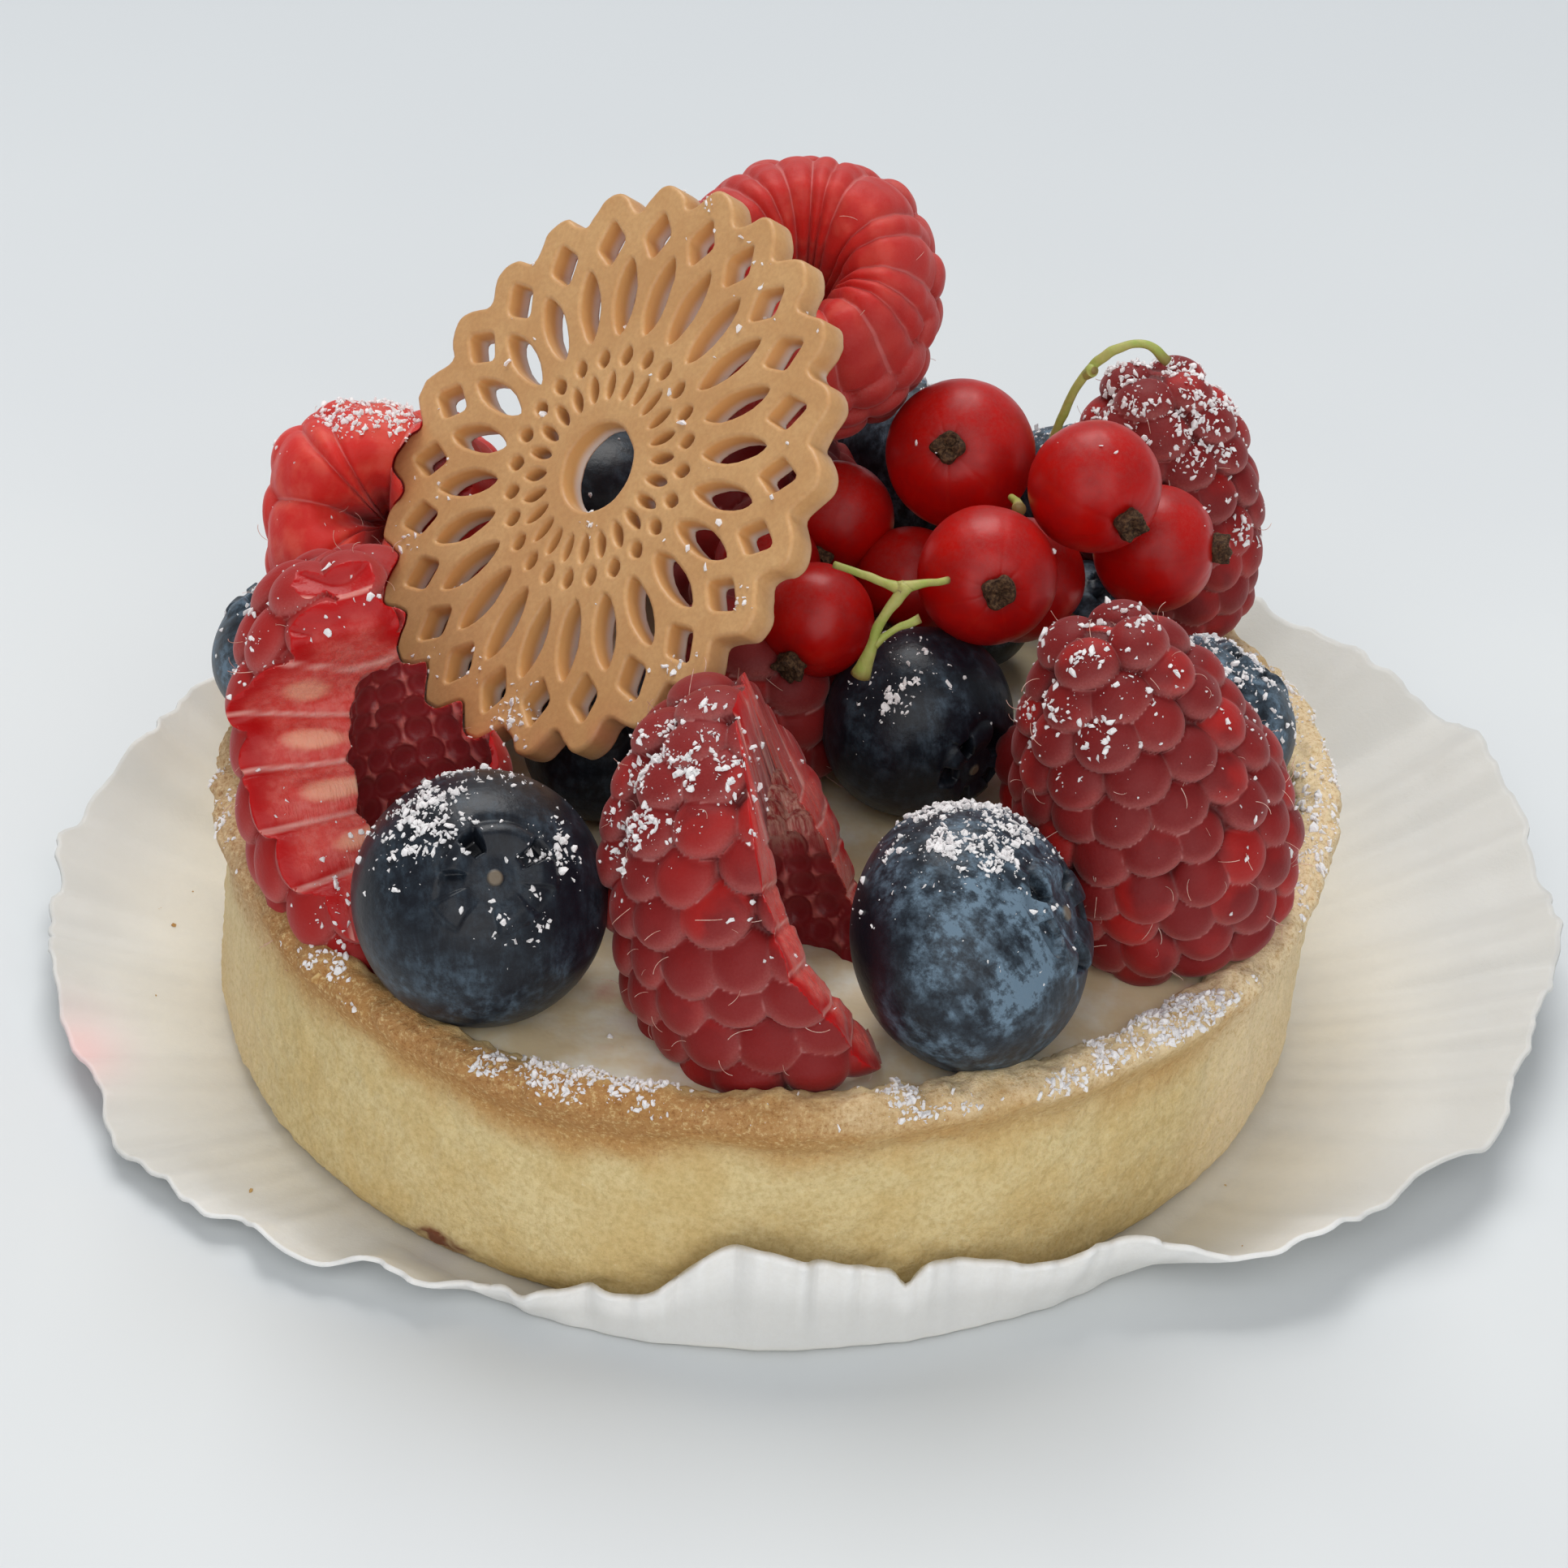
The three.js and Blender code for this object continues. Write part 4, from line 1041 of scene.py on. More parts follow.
def make_raspberry(name, number, material):
    """One raspberry: a whole one, one seen from its open end, or one cut down its length."""
    base, tip, radius, *form = RASPBERRIES[name]
    chance = np.random.default_rng(40 + number)
    base, tip = np.array(base, float), np.array(tip, float)
    rows = axes_along(tip - base)
    length = np.linalg.norm(tip - base)
    if name in OPEN_ENDS:
        points, faces, skin, painted_glow = open_raspberry(name, number, length, chance)
    else:
        points, faces, beads, skin = whole_raspberry(length, radius, *form, chance)
        # painted glow: a cut raspberry's flesh is coloured brighter, as if lit through
        painted_glow = np.full(len(points), CUT_PAINTED_GLOW.get(name, 0))
    mesh = new_mesh(name, points @ rows + base, faces)
    tools = []
    if name in CUTS:
        point, normal, twist, hollow, shift, flesh_left, stringy, whole = CUTS[name]
        cavity, cavity_faces, pits = cavity_tool(length, hollow * radius, chance)
        cavity = cavity + rows @ np.array(shift, float)
        tools.append(new_mesh("cavity", cavity @ rows + base, cavity_faces))
        point, normal = rows @ (np.array(point, float) - base), rows @ unit(normal)
        block, block_faces = cut_tool(point, normal, twist, beads, flesh_left, whole * length, number)
        tools.append(new_mesh("knife", block @ rows + base, block_faces))
    if "left_cut" in name:
        tools.append(space_before_disc())

    local, outside, nearest = points, np.zeros(len(points)), np.arange(len(points))
    if tools:
        mesh = largest_part(cut_away(mesh, tools))
        local = (points_of(mesh) - base) @ rows.T
        outside, nearest = nearest_points(points, local)
    within = outside > 0.02
    dome, lower, tone, edge = (values[nearest] for values in skin)
    edge = np.where(within, 0, edge)
    inside, seed, strings = np.zeros((3, len(local)))
    if name in CUTS:
        in_cavity, nearest_pit = nearest_points(cavity, local)
        hollowed = (in_cavity < 0.02) & within
        inside[:] = hollowed
        dome[hollowed] = pits[nearest_pit[hollowed]]
        on_cut = within & ~hollowed
        _, skins, seed[on_cut] = cut_relief(local[on_cut], beads, flesh_left, number)
        edge[on_cut] += skins
        strings = smooth((local[:, 2] - stringy * length) / 4) * hollowed
        strings[on_cut] = smooth((outside[on_cut] - 0.4) / (0.32 * flesh_left))
    fields = {
        "skin": np.stack([dome, lower, tone], -1), "flesh": np.stack([within, inside, seed], -1),
        "edges": np.stack([edge, painted_glow[nearest], strings], -1), "place": local * MM,
    }
    set_fields(mesh, fields)
    make_piece(name, mesh, [material])


# ---------------------------------------------------------------- blueberries


def make_blueberry(name, number, material):
    """A berry with a five-pointed crown round a small scar."""
    centre, crown_way, radius, flat, columns, bloom_left = BLUEBERRIES[name]
    share = np.linspace(0, 1, int(0.7 * columns))
    polar = math.pi * (1 - share) ** 1.25
    form, out, faces = revolve(radius * np.stack([np.sin(polar), flat * np.cos(polar)], -1), columns)
    across, angle = about_axis(form)
    top = raised(form[:, :2], 0)
    x = np.where(form[:, 2] > 0, across / (CROWN * radius), 9)
    x = x * (1 + 0.15 * lump(top, 0.3 * radius, number) + 0.22 * lump(top, 0.6 * radius, number + 4))
    star = 0.5 + 0.5 * np.cos(5 * angle + 0.6 * np.sin(2 * angle + number) + 0.4 * np.sin(3 * angle))
    star = star + 0.2 * lump(form, 0.16 * radius, number + 7) + 0.15 * np.sin(angle + 2 * number)
    pit = smooth((x - 0.5) / 0.14) * (1 - smooth((x - 0.98) / 0.1)) * (1 - smooth((star - 0.3) / 0.16))
    rows = axes_along(crown_way)
    skyward = top @ rows[:, 2] / (CROWN * radius)
    least = 0.08 if name == "blueberry_front_left" else 0.4
    pit *= smooth(0.75 + 0.9 * lump(top, 0.5 * radius, number + 11))
    pit *= least + (1 - least) * smooth(0.25 + 1.2 * skyward)
    lobe = smooth((x - 0.45) / 0.4) * (1 - smooth((x - 1.02) / 0.14)) * smooth((star - 0.25) / 0.3)
    plate = 1 - smooth((x - 0.35) / 0.5)
    scar = 1 - smooth((x - 0.11) / 0.06)
    groove = hill((x - 1.1) / 0.13) * smooth((star - 0.2) / 0.3) * smooth(0.4 + skyward)
    height = radius * (0.03 * lobe - 0.045 * plate - 0.18 * pit + 0.02 * scar - 0.025 * groove)
    broad = 0.018 * radius * lump(form, 1.1 * radius, 9)
    height += radius * 0.014 * lump(form, 0.55 * radius, number) + broad
    # painted shade: the crown's pits and the groove round it are coloured dark
    dark = np.clip(1.1 * pit + 0.35 * groove - 0.1 * lobe, 0, 1)
    points = form + out * height[:, None]
    away = form @ rows / radius
    bloom = np.full(len(form), float(bloom_left))
    for *way, wide, share in BLOOM_PATCHES.get(name, ()):
        bloom += share * smooth(1 - np.linalg.norm(away - unit(way), axis=1) / wide)
    fields = {"place": points * MM, "crown": np.stack([dark, 0.8 * scar, np.clip(bloom, 0, 1.9)], -1)}
    make_piece(name, new_mesh(name, points @ rows + centre, faces, fields), [material])


# ---------------------------------------------------------------- currants and stems


def make_currant(name, number, skin, tuft):
    """A red currant with its dry tuft, as one piece of two materials."""
    centre, way, radius, columns = CURRANTS[name]
    polar = np.linspace(math.pi, 0, int(0.72 * columns))
    form, out, faces = revolve(radius * np.stack([np.sin(polar), 0.97 * np.cos(polar)], -1), columns)
    across, angle = about_axis(form)
    rib = (0.5 + 0.5 * np.cos(9 * angle + 0.6 * np.sin(3 * angle + number))) ** 8
    ball = form + out * (0.02 * radius * lump(form, 0.8 * radius, number) - 0.02 * rib)[:, None]
    ball[:, 2] -= 0.35 * hill(across / 1.5) * (form[:, 2] > 0)

    wide, height = TUFT_RADIUS, TUFT_HEIGHT
    line = (
        (0, -1), (0.8 * wide, -1), (0.9 * wide, -0.2), (wide, 0.5 * height), (0.95 * wide, height),
        (0, 0.7 * height),
    )
    knot, away, knot_faces = revolve(evenly(line, 34), 44)
    ragged = 0.2 * lump(knot, 0.45, number) + 0.12 * np.cos(4 * about_axis(knot)[1] + number)
    ragged += 0.16 * lump(knot, 0.9, number + 3)
    knot = knot + away * ragged[:, None]
    knot[:, 2] += radius * 0.97 - 0.35

    rows = axes_along(way)
    dust = 0.4 * smooth(out @ rows[:, 2])
    none = np.zeros((len(knot), 2))
    points, whole, looks = joined([(ball, faces, np.stack([rib, dust], -1)), (knot, knot_faces, none)])
    mesh = new_mesh(name, points @ rows + centre, whole, {"rib": looks[:, 0], "dust": looks[:, 1]})
    which = np.concatenate([np.arange(len(part)) >= len(own) for part, own in zip(whole, faces)])
    mesh.polygons.foreach_set("material_index", which.astype(int))
    make_piece(name, mesh, [skin, tuft])


def tube(path, sides, per_step=10):
    """Points, faces and share of the length for a round twig through (x, y, z, radius) points."""
    path = np.asarray(path, float)
    ends = np.concatenate([[2 * path[0] - path[1]], path, [2 * path[-1] - path[-2]]])
    line = []
    for a, b, c, d in zip(ends, ends[1:], ends[2:], ends[3:]):
        for t in np.arange(per_step) / per_step:
            square, cube = 2 * a - 5 * b + 4 * c - d, 3 * b - a - 3 * c + d
            line.append(0.5 * (2 * b + (c - a) * t + square * t**2 + cube * t**3))
    line = np.array([*line, path[-1]])
    ways = np.gradient(line[:, :3], axis=0)
    side = axes_along(ways[0])[0]
    angle = np.arange(sides)[:, None] * TURN / sides
    rings = []
    for (*at, radius), way in zip(line, ways):
        way = unit(way)
        side = unit(side - way * (side @ way))
        rings.append(np.array(at) + radius * (np.cos(angle) * side + np.sin(angle) * np.cross(way, side)))
    points = np.concatenate([line[:1, :3], *rings, line[-1:, :3]])
    share = np.concatenate([[0], np.repeat(np.linspace(0, 1, len(line)), sides), [1]])
    return points, ring_faces(len(line), sides), share


def make_stem(name, material):
    """A currant's stem with its twigs joined into one piece."""
    parts = []
    for twig in STEMS[name]:
        points, faces, share = tube(np.array(twig) * (1, 1, 1, STEM_THINNING), 14)
        rough = 0.07 * np.stack([lump(points, 0.9, k) for k in range(3)], -1)
        parts.append((points + rough, faces, share**4))
    points, faces, end = joined(parts)
    make_piece(name, new_mesh(name, points, faces, {"end": end}), [material])


# ---------------------------------------------------------------- lace disc


def disc_openings():
    """The outline of each opening and of the disc, as closed loops in the disc's own plane."""
    step = TURN / DISC_PETALS

    def placed(loop, angle):
        c, s = math.cos(angle), math.sin(angle)
        return loop @ np.array([[c, s], [-s, c]])

    def lens(inner, outer, half, count=18):
        turn = np.arange(count) * TURN / count
        x = 0.5 * (inner + outer) + 0.5 * (outer - inner) * np.cos(turn)
        return np.stack([x, half * np.sin(turn) * np.abs(np.sin(turn)) ** 0.45], -1)

    def diamond(inner, outer, half):
        middle = 0.52 * inner + 0.48 * outer
        corners = np.array([(outer, 0), (middle, half), (inner, 0), (middle, -half)])
        found = []
        for a, b, c in zip(np.roll(corners, 1, 0), corners, np.roll(corners, -1, 0)):
            p, q = b + 0.22 * (a - b), b + 0.22 * (c - b)
            found += [(1 - t) ** 2 * p + 2 * t * (1 - t) * b + t * t * q for t in (0, 0.33, 0.67, 1)]
        return np.array(found)

    loops = []
    for k in range(DISC_PETALS):
        petal, between = k * step, (k + 0.5) * step
        loops.append(placed(diamond(15.1, 18.8, 1.34), petal))
        loops.append(placed(lens(9.7, 15.4, 0.92), between))
        loops.append(placed(lens(7.4, 8.8, 0.5, 12), petal))
        loops.append(placed(lens(4.9, 7, 0.38, 14), between))
    loops.append(DISC_HOLE * on_circle(np.arange(40) * TURN / 40))
    turn = np.arange(DISC_PETALS * 20) / 20
    tip = np.abs(2 * (turn % 1) - 1)
    edge = DISC_NOTCH + (DISC_RADIUS - DISC_NOTCH) * np.minimum(1.38 * tip, 0.92 + 0.08 * tip)
    for _ in range(4):
        edge = 0.25 * np.roll(edge, 1) + 0.5 * edge + 0.25 * np.roll(edge, -1)
    return [uneven(loop, 0.09) for loop in loops], uneven(edge[:, None] * on_circle(turn * step), 0.24)


def uneven(loop, amount):
    """The loop with the small faults of a mould."""
    place = raised(loop, 0)
    shift = np.stack([lump(place, 1.3, 61) + 0.5 * lump(place, 0.6, 63), lump(place, 1.3, 62)], -1)
    return loop + amount * shift


def shifted(loop, distance):
    """The loop moved sideways to its left by that distance."""
    way = np.roll(loop, -1, 0) - np.roll(loop, 1, 0)
    way /= np.linalg.norm(way, axis=1, keepdims=True)
    return loop + distance * np.stack([-way[:, 1], way[:, 0]], -1)


def disc_shape():
    """Points, quads and triangles of the pierced disc with softly rounded edges, in its own frame."""
    holes, outline = disc_openings()
    loops = [outline, *[hole[::-1] for hole in holes]]
    half, soft = DISC_THICKNESS / 2, DISC_ROUNDING
    bend = np.linspace(0, math.pi / 2, 5)
    layers = [(soft * (1 - math.cos(b)), half - soft * (1 - math.sin(b))) for b in bend]
    layers = sorted([*layers, *((inset, -z) for inset, z in layers)], key=lambda layer: layer[1])
    points, quads, count = [], [], 0
    rims = {0: [], len(layers) - 1: []}
    for loop in loops:
        n = len(loop)
        for level, (inset, z) in enumerate(layers):
            points.append(raised(shifted(loop, inset), z))
            index = count + level * n + np.arange(n)
            if level in rims:
                rims[level].append(index)
            if level:
                below = index - n
                quads.append(np.stack([below, np.roll(below, -1), np.roll(index, -1), index], -1))
        count += n * len(layers)
    points, triangles = np.concatenate(points), []
    for level, rim in rims.items():
        triangles += disc_face(points, rim, loops, level > 0)
    return points, np.concatenate(quads), np.array(triangles)


def disc_face(points, rims, loops, upper):
    """Triangles over one flat face of the disc, between its outline and its openings."""
    edges, start = [], 0
    for rim in rims:
        n = len(rim)
        edges += [(start + k, start + (k + 1) % n) for k in range(n)]
        start += n
    index = np.concatenate(rims)
    spots, _, faces, origins, *_ = delaunay_2d_cdt([Vector(p) for p in points[index, :2]], edges, [], 2, 1e-6)
    which = {k: index[origin[0]] for k, origin in enumerate(origins) if origin}
    middles = np.array([np.mean([spots[v] for v in face], axis=0) for face in faces])
    found = []
    for face, keep in zip(faces, inside_disc(middles, loops)):
        if keep:
            corners = [which[v] for v in face]
            found.append(corners if upper else corners[::-1])
    return found


def inside_disc(points, loops):
    """Whether each point of the plane is within the outline and outside every opening."""
    crossings = np.zeros(len(points), int)
    for loop in loops:
        loop = shifted(loop, DISC_ROUNDING)
        for (ax, ay), (bx, by) in zip(loop, np.roll(loop, -1, 0)):
            spans = (ay > points[:, 1]) != (by > points[:, 1])
            with np.errstate(divide="ignore", invalid="ignore"):
                at = ax + (points[:, 1] - ay) * (bx - ax) / (by - ay)
            crossings += spans & (points[:, 0] < at)
    return crossings % 2 == 1


def disc_rows():
    """The disc's own directions: across, across and along its normal."""
    tilt = Vector((0, 0, 1)).rotation_difference(Vector(unit(DISC_NORMAL))).to_matrix()
    return np.array((tilt @ Matrix.Rotation(DISC_TURN, 3, "Z")).transposed())


def disc_mesh():
    """The lace disc in its place, with its flat faces flat."""
    points, quads, triangles = disc_shape()
    half = DISC_THICKNESS / 2
    within = 1 - smooth((about_axis(points)[0] - DISC_NOTCH - 0.05) / 0.2)
    wall = smooth((half - 0.12 - points[:, 2]) / 0.25) * (0.12 + 0.88 * within)
    wall *= smooth((half + points[:, 2] - 0.1) / 0.2)
    depth = (half - points[:, 2]) / DISC_THICKNESS
    juice = np.zeros(len(points))
    for degrees, amount in DISC_JUICE:
        off = (points[:, :2] - on_circle(math.radians(degrees)) * (DISC_RADIUS - 0.2)) / 1.1
        juice += amount * hill(*off.T)
    fields = {"wall": np.stack([wall, depth, np.clip(juice, 0, 0.85)], -1)}
    mesh = new_mesh("lace_disc", points @ disc_rows() + DISC_CENTRE, (quads, triangles), fields)
    mesh.polygons.foreach_set("use_smooth", np.arange(len(mesh.polygons)) < len(quads))
    return mesh


# ---------------------------------------------------------------- pastry, cream and paper


def lean(points):
    """The tart leans: its foot is set a little to the front left of its lip."""
    share = FOOT_SHIFT * (1 - points[:, 2] / TART_HEIGHT)
    return points + np.stack([share, share, 0 * share], -1)


def crust_form():
    """The shell as rings over its profile, with fine steps where it shows."""
    profile = np.array(CRUST_PROFILE, float)
    line = []
    for a, b, count in zip(profile, profile[1:], CRUST_STEPS):
        line += [a + (b - a) * t for t in np.arange(count) / count]
    line = np.array([*line, profile[-1]])
    smoothed = line.copy()
    for _ in range(3):
        smoothed[1:-1] = 0.25 * smoothed[:-2] + 0.5 * smoothed[1:-1] + 0.25 * smoothed[2:]
    shown = (line[:, 0] > 35.5) & (line[:, 1] > 1.5)
    line[shown] = smoothed[shown]
    return revolve(line, CRUST_COLUMNS)


def crust_mesh():
    """The baked shell, crumbly and wavy at its lip."""
    form, out, faces = crust_form()
    up = form[:, 2]
    across, angle = about_axis(form)
    lip = smooth((up - 9.5) / 8)
    wave = 0.35 * (0.5 * np.sin(3 * angle + 1) + 0.3 * np.sin(8 * angle) + 0.2 * np.sin(13 * angle + 2)) * lip
    grain = bpy.context.scene.tart_pastry.grain / MM
    relief = grain * (0.9 * lump(form, 0.8, 1) + 0.7 * lump(form, 0.42, 2) + 1.3 * lump(form, 2.6, 3))
    relief += 0.16 * lump(form, 7, 4) + 0.5 * grain * lump(form, 1.5, 6)
    relief -= 0.35 * np.maximum(lump(form, 1.2, 5) - 0.45, 0)
    edge_lumps = 0.3 * lump(form, 1.9, 8) + 0.2 * lump(form, 0.75, 9) + 0.1 * lump(form, 0.4, 10)
    edge_lumps *= smooth((up - 16.8) / 1.2)
    shows = smooth((across - 34) / 1.5)
    moved = form + out * ((relief + edge_lumps) * shows)[:, None]
    moved[:, :2] += wave[:, None] * on_circle(angle)
    moved[:, 2] += 0.35 * lip * np.sin(5 * angle + 2)
    moved[:, 2] = np.maximum(moved[:, 2], 0.5)

    inward = smooth((38.9 - across) / 1.5)
    right = smooth((np.cos(angle - math.radians(-15)) - 0.1) / 0.6)
    # the lip browns less towards the right, partly a paler bake and partly painted light on that side
    baked = smooth((up - 10.6 + 1.4 * lump(form, 6, 11)) / 6.4) * (1 - 0.6 * inward) * (1.06 - 0.5 * right)
    pale = smooth((up - 16.6) / 1.6) * smooth(0.75 + 0.5 * lump(form, 5, 13) + 0.4 * lump(form, 1.6, 14))
    # painted light: the wall's two ends are paled, the right end most
    end = 0.95 * smooth((np.cos(angle + 0.14) - 0.8) / 0.15) + 0.5 * smooth((-np.cos(angle) - 0.8) / 0.15)
    # the lip's pale patches lie mostly on the right, partly sugar-pale crumb and partly painted light
    pale = np.maximum(pale * (0.06 + 0.94 * right), end)
    spot = hill((angle - math.radians(-121.5)) / 0.045, (up - 1.6) / 0.9)
    stain = np.clip(smooth(3 * spot * (0.6 + 0.7 * lump(form, 0.9, 12))), 0, 0.9)
    return new_mesh("crust", lean(moved), faces, {"baked": baked, "pale": pale, "stain": stain})


def cream_mesh():
    """The filling, level but for a slight swell."""
    radius, level = CREAM_RADIUS, CREAM_LEVEL
    line = (
        (0, 16.4), (radius - 0.6, 16.2), (radius, 16.6), (radius - 0.1, level - 0.1), (radius - 1.2, level),
        (0, level),
    )
    points, _, faces = revolve(evenly(line, 120), 220)
    juice = np.clip(lump(points, 3, 24) - 0.62, 0, 1) * 1.6
    swell = 0.22 * lump(points, 6, 21) + 0.08 * lump(points, 2, 22)
    points[:, 2] += smooth((points[:, 2] - level + 0.4) / 0.3) * swell
    return new_mesh("cream", lean(points), faces, {"juice": juice})


def paper_edge(angle):
    """Radius of the fold, radius of the edge and its height at each angle."""
    rows = np.array(PAPER_EDGE, float)
    degrees = (np.degrees(angle) + 90) % 360 - 90
    after = np.clip(np.searchsorted(rows[:, 0], degrees, side="right"), 1, len(rows) - 1)
    a, b = rows[after - 1], rows[after]
    t = smooth((degrees - a[:, 0]) / (b[:, 0] - a[:, 0]))[:, None]
    foot, edge, height = (a + (b - a) * t)[:, 1:].T
    edge = edge + 0.5 * np.sin(7 * angle) + 0.3 * np.sin(17 * angle + 1)
    height = height + 0.35 * np.sin(9 * angle + 2) + 0.25 * np.sin(23 * angle)
    return foot, edge, height


def paper_rings():
    """Rings of points over the case's upper side, their share of the flare, its slope and its directions."""
    look = bpy.context.scene.tart_paper
    angle = np.arange(PAPER_COLUMNS) * TURN / PAPER_COLUMNS
    degrees = np.degrees(angle)
    foot, edge, height = paper_edge(angle)
    around = on_circle(angle)
    ragged = 0.5 * lump(raised(around * 50, 0), 2.2, 31) + 0.28 * lump(raised(around * 50, 0), 0.9, 32)
    ragged *= 1 + 0.9 * smooth((-around[:, 1] - 0.4) / 0.4)
    slope = np.arctan2(height, np.maximum(edge - foot, 0.4))
    tear = 1.6 * hill((degrees - 284.3) / 1.1)
    folded = 1 + 2.6 * hill((degrees - 232) / 9)
    swing = np.sin(look.pleats * angle + 1.6 * np.sin(5 * angle) + 1.1 * np.sin(11 * angle + 2))
    sharp = np.sign(swing) * np.abs(swing) ** 0.8
    rings = [raised(around * (PAPER_FLAT * k / PAPER_FLAT_ROWS), 0) for k in range(1, PAPER_FLAT_ROWS + 1)]
    rises = [0.0] * PAPER_FLAT_ROWS
    for k in range(1, PAPER_WALL_ROWS + 1):
        share = k / PAPER_WALL_ROWS
        bend = smooth(share / 0.12) * min(1, share / 0.12)
        rise = max(0, (share - 0.06) / 0.94)
        start = PAPER_FLAT + (foot - PAPER_FLAT) * min(1, share / 0.1)
        radius = start + (edge + ragged * share - foot) * rise
        wander = 0.65 + 0.5 * lump(raised(around * 40, share * 4), 9, 33)
        pleat = look.depth / MM * sharp * wander * (0.35 + 0.65 * share) * bend
        broad = 0.5 * np.sin(31 * angle + 2 * np.sin(3 * angle)) * share * bend
        place = raised(around * radius[:, None], 0)
        crumple = (0.28 * lump(place, 5, 34) + 0.1 * lump(place, 2.2, 35)) * folded * rise
        folds = pleat + broad + crumple
        up = (height - tear + 0.7 * ragged) * rise**1.3 + folds * np.cos(slope)
        out = radius - 0.8 * folds * np.sin(slope)
        rings.append(raised(around * out[:, None], np.maximum(up, 0)))
        rises.append(rise)
    return np.stack(rings), np.outer(rises, np.ones(PAPER_COLUMNS)), slope, around


def paper_mesh():
    """The opened case as a thin shell: flat under the tart, pleated where it flares."""
    upper, rise, slope, around = paper_rings()
    upper[..., 2] += PAPER_THICKNESS
    lower = upper.copy()
    lower[..., 2] = np.maximum(lower[..., 2] - PAPER_THICKNESS, 0)
    steep = np.sin(slope)[None, :] * np.minimum(1, rise / 0.1)
    lower[..., :2] += (steep * PAPER_THICKNESS)[..., None] * around
    rings = np.concatenate([lower, upper[::-1]])
    points = np.concatenate([[(0, 0, 0)], rings.reshape(-1, 3), [(0, 0, PAPER_THICKNESS)]])
    rises = np.concatenate([[0], rise.ravel(), rise[::-1].ravel(), [0]])
    front = smooth((-points[:, 1] - 26) / 9) * smooth(rises / 0.2)
    # greasy tint near the crust, lighter than the paper, partly grease and partly painted light against the
    # crust's shade
    greasy_and_lit = smooth((52 - about_axis(points)[0]) / 12) * (1 - 0.9 * front)
    # painted light: the front of the case is whiter, most at its edge
    lit_front = front * (0.4 + 0.6 * smooth((rises - 0.55) / 0.35))
    blush = 0.8 * hill((points[:, 0] + 48) / 3, (points[:, 1] + 17) / 4)
    faces = ring_faces(len(rings), PAPER_COLUMNS)
    return new_mesh("paper_case", points, faces, {"greasy_and_lit": greasy_and_lit, "blush": blush, "lit_front": lit_front})


# ---------------------------------------------------------------- scattered things


class Strewing(Tree):
    """New geometry nodes with named inputs, which set shapes on a surface as thickly as its field says."""

    def __init__(self, name, *sizes):
        self.group = bpy.data.node_groups.new(name, "GeometryNodeTree")
        sizes = [(label, "Float") for label in ("Density", *sizes)]
        for label, kind in (("Geometry", "Geometry"), *sizes, ("Seed", "Int"), ("Material", "Material")):
            self.group.interface.new_socket(label, in_out="INPUT", socket_type="NodeSocket" + kind)
        self.group.interface.new_socket("Geometry", in_out="OUTPUT", socket_type="NodeSocketGeometry")
        super().__init__(self.group)
        self.given = self.add("NodeGroupInput", output=None).outputs
        thick = self.add("GeometryNodeInputNamedAttribute", {"Name": "strewn"}, data_type="FLOAT")
        values = {
            "Mesh": self.given["Geometry"], "Density": self.times(thick, self.given["Density"]),
            "Seed": self.given["Seed"],
        }
        self.spots = self.add("GeometryNodeDistributePointsOnFaces", values, output=None).outputs

    def random(self, low, high, seed):
        """A random number or vector for each spot."""
        kind, output, first = ("FLOAT_VECTOR", 0, 0) if isinstance(low, tuple) else ("FLOAT", 1, 2)
        values = {first: low, first + 1: high, "Seed": seed}
        return self.add("FunctionNodeRandomValue", values, output, data_type=kind)

    def run(self, value, low, high):
        """The value's run from 0 to 1 as one from low to high."""
        return self.add("ShaderNodeMapRange", {"Value": value, 1: 0.0, 2: 1.0, 3: low, 4: high})

    def placed(self, shape, turn, size):
        """The shape on every spot, as plain geometry."""
        values = {"Points": self.spots["Points"], "Instance": shape, "Rotation": turn, "Scale": size}
        return self.add("GeometryNodeRealizeInstances", {0: self.add("GeometryNodeInstanceOnPoints", values)})

    def finished(self, geometry):
        """The group, which ends by giving the geometry its material."""
        done = self.add("GeometryNodeSetMaterial", {"Geometry": geometry, "Material": self.given["Material"]})
        self.add("NodeGroupOutput", {0: done}, output=None)
        return self.group


def grain_tree(name):
    """Geometry nodes that strew small rough grains over a surface."""
    t = Strewing(name, "Smallest", "Largest")
    grain = t.add("GeometryNodeMeshIcoSphere", {"Radius": 1.0, "Subdivisions": 1})
    turn = t.random((0, 0, 0), (TURN, TURN, TURN), 3)
    size = t.run(t.number("POWER", t.random(0.0, 1.0, 5), 2.2), t.given["Smallest"], t.given["Largest"])
    shape = t.random((0.5, 0.5, 0.25), (1.7, 1.2, 0.7), 8)
    grains = t.placed(grain, turn, t.scaled(shape, size))
    values = {"Vector": t.add("GeometryNodeInputPosition"), "Scale": 1 / (0.28 * MM)}
    rough = t.vector("SUBTRACT", t.add("ShaderNodeTexNoise", values, output="Color"), (0.5, 0.5, 0.5))
    push = t.scaled(rough, t.times(t.given["Largest"], 1.5))
    return t.finished(t.add("GeometryNodeSetPosition", {"Geometry": grains, "Offset": push}))


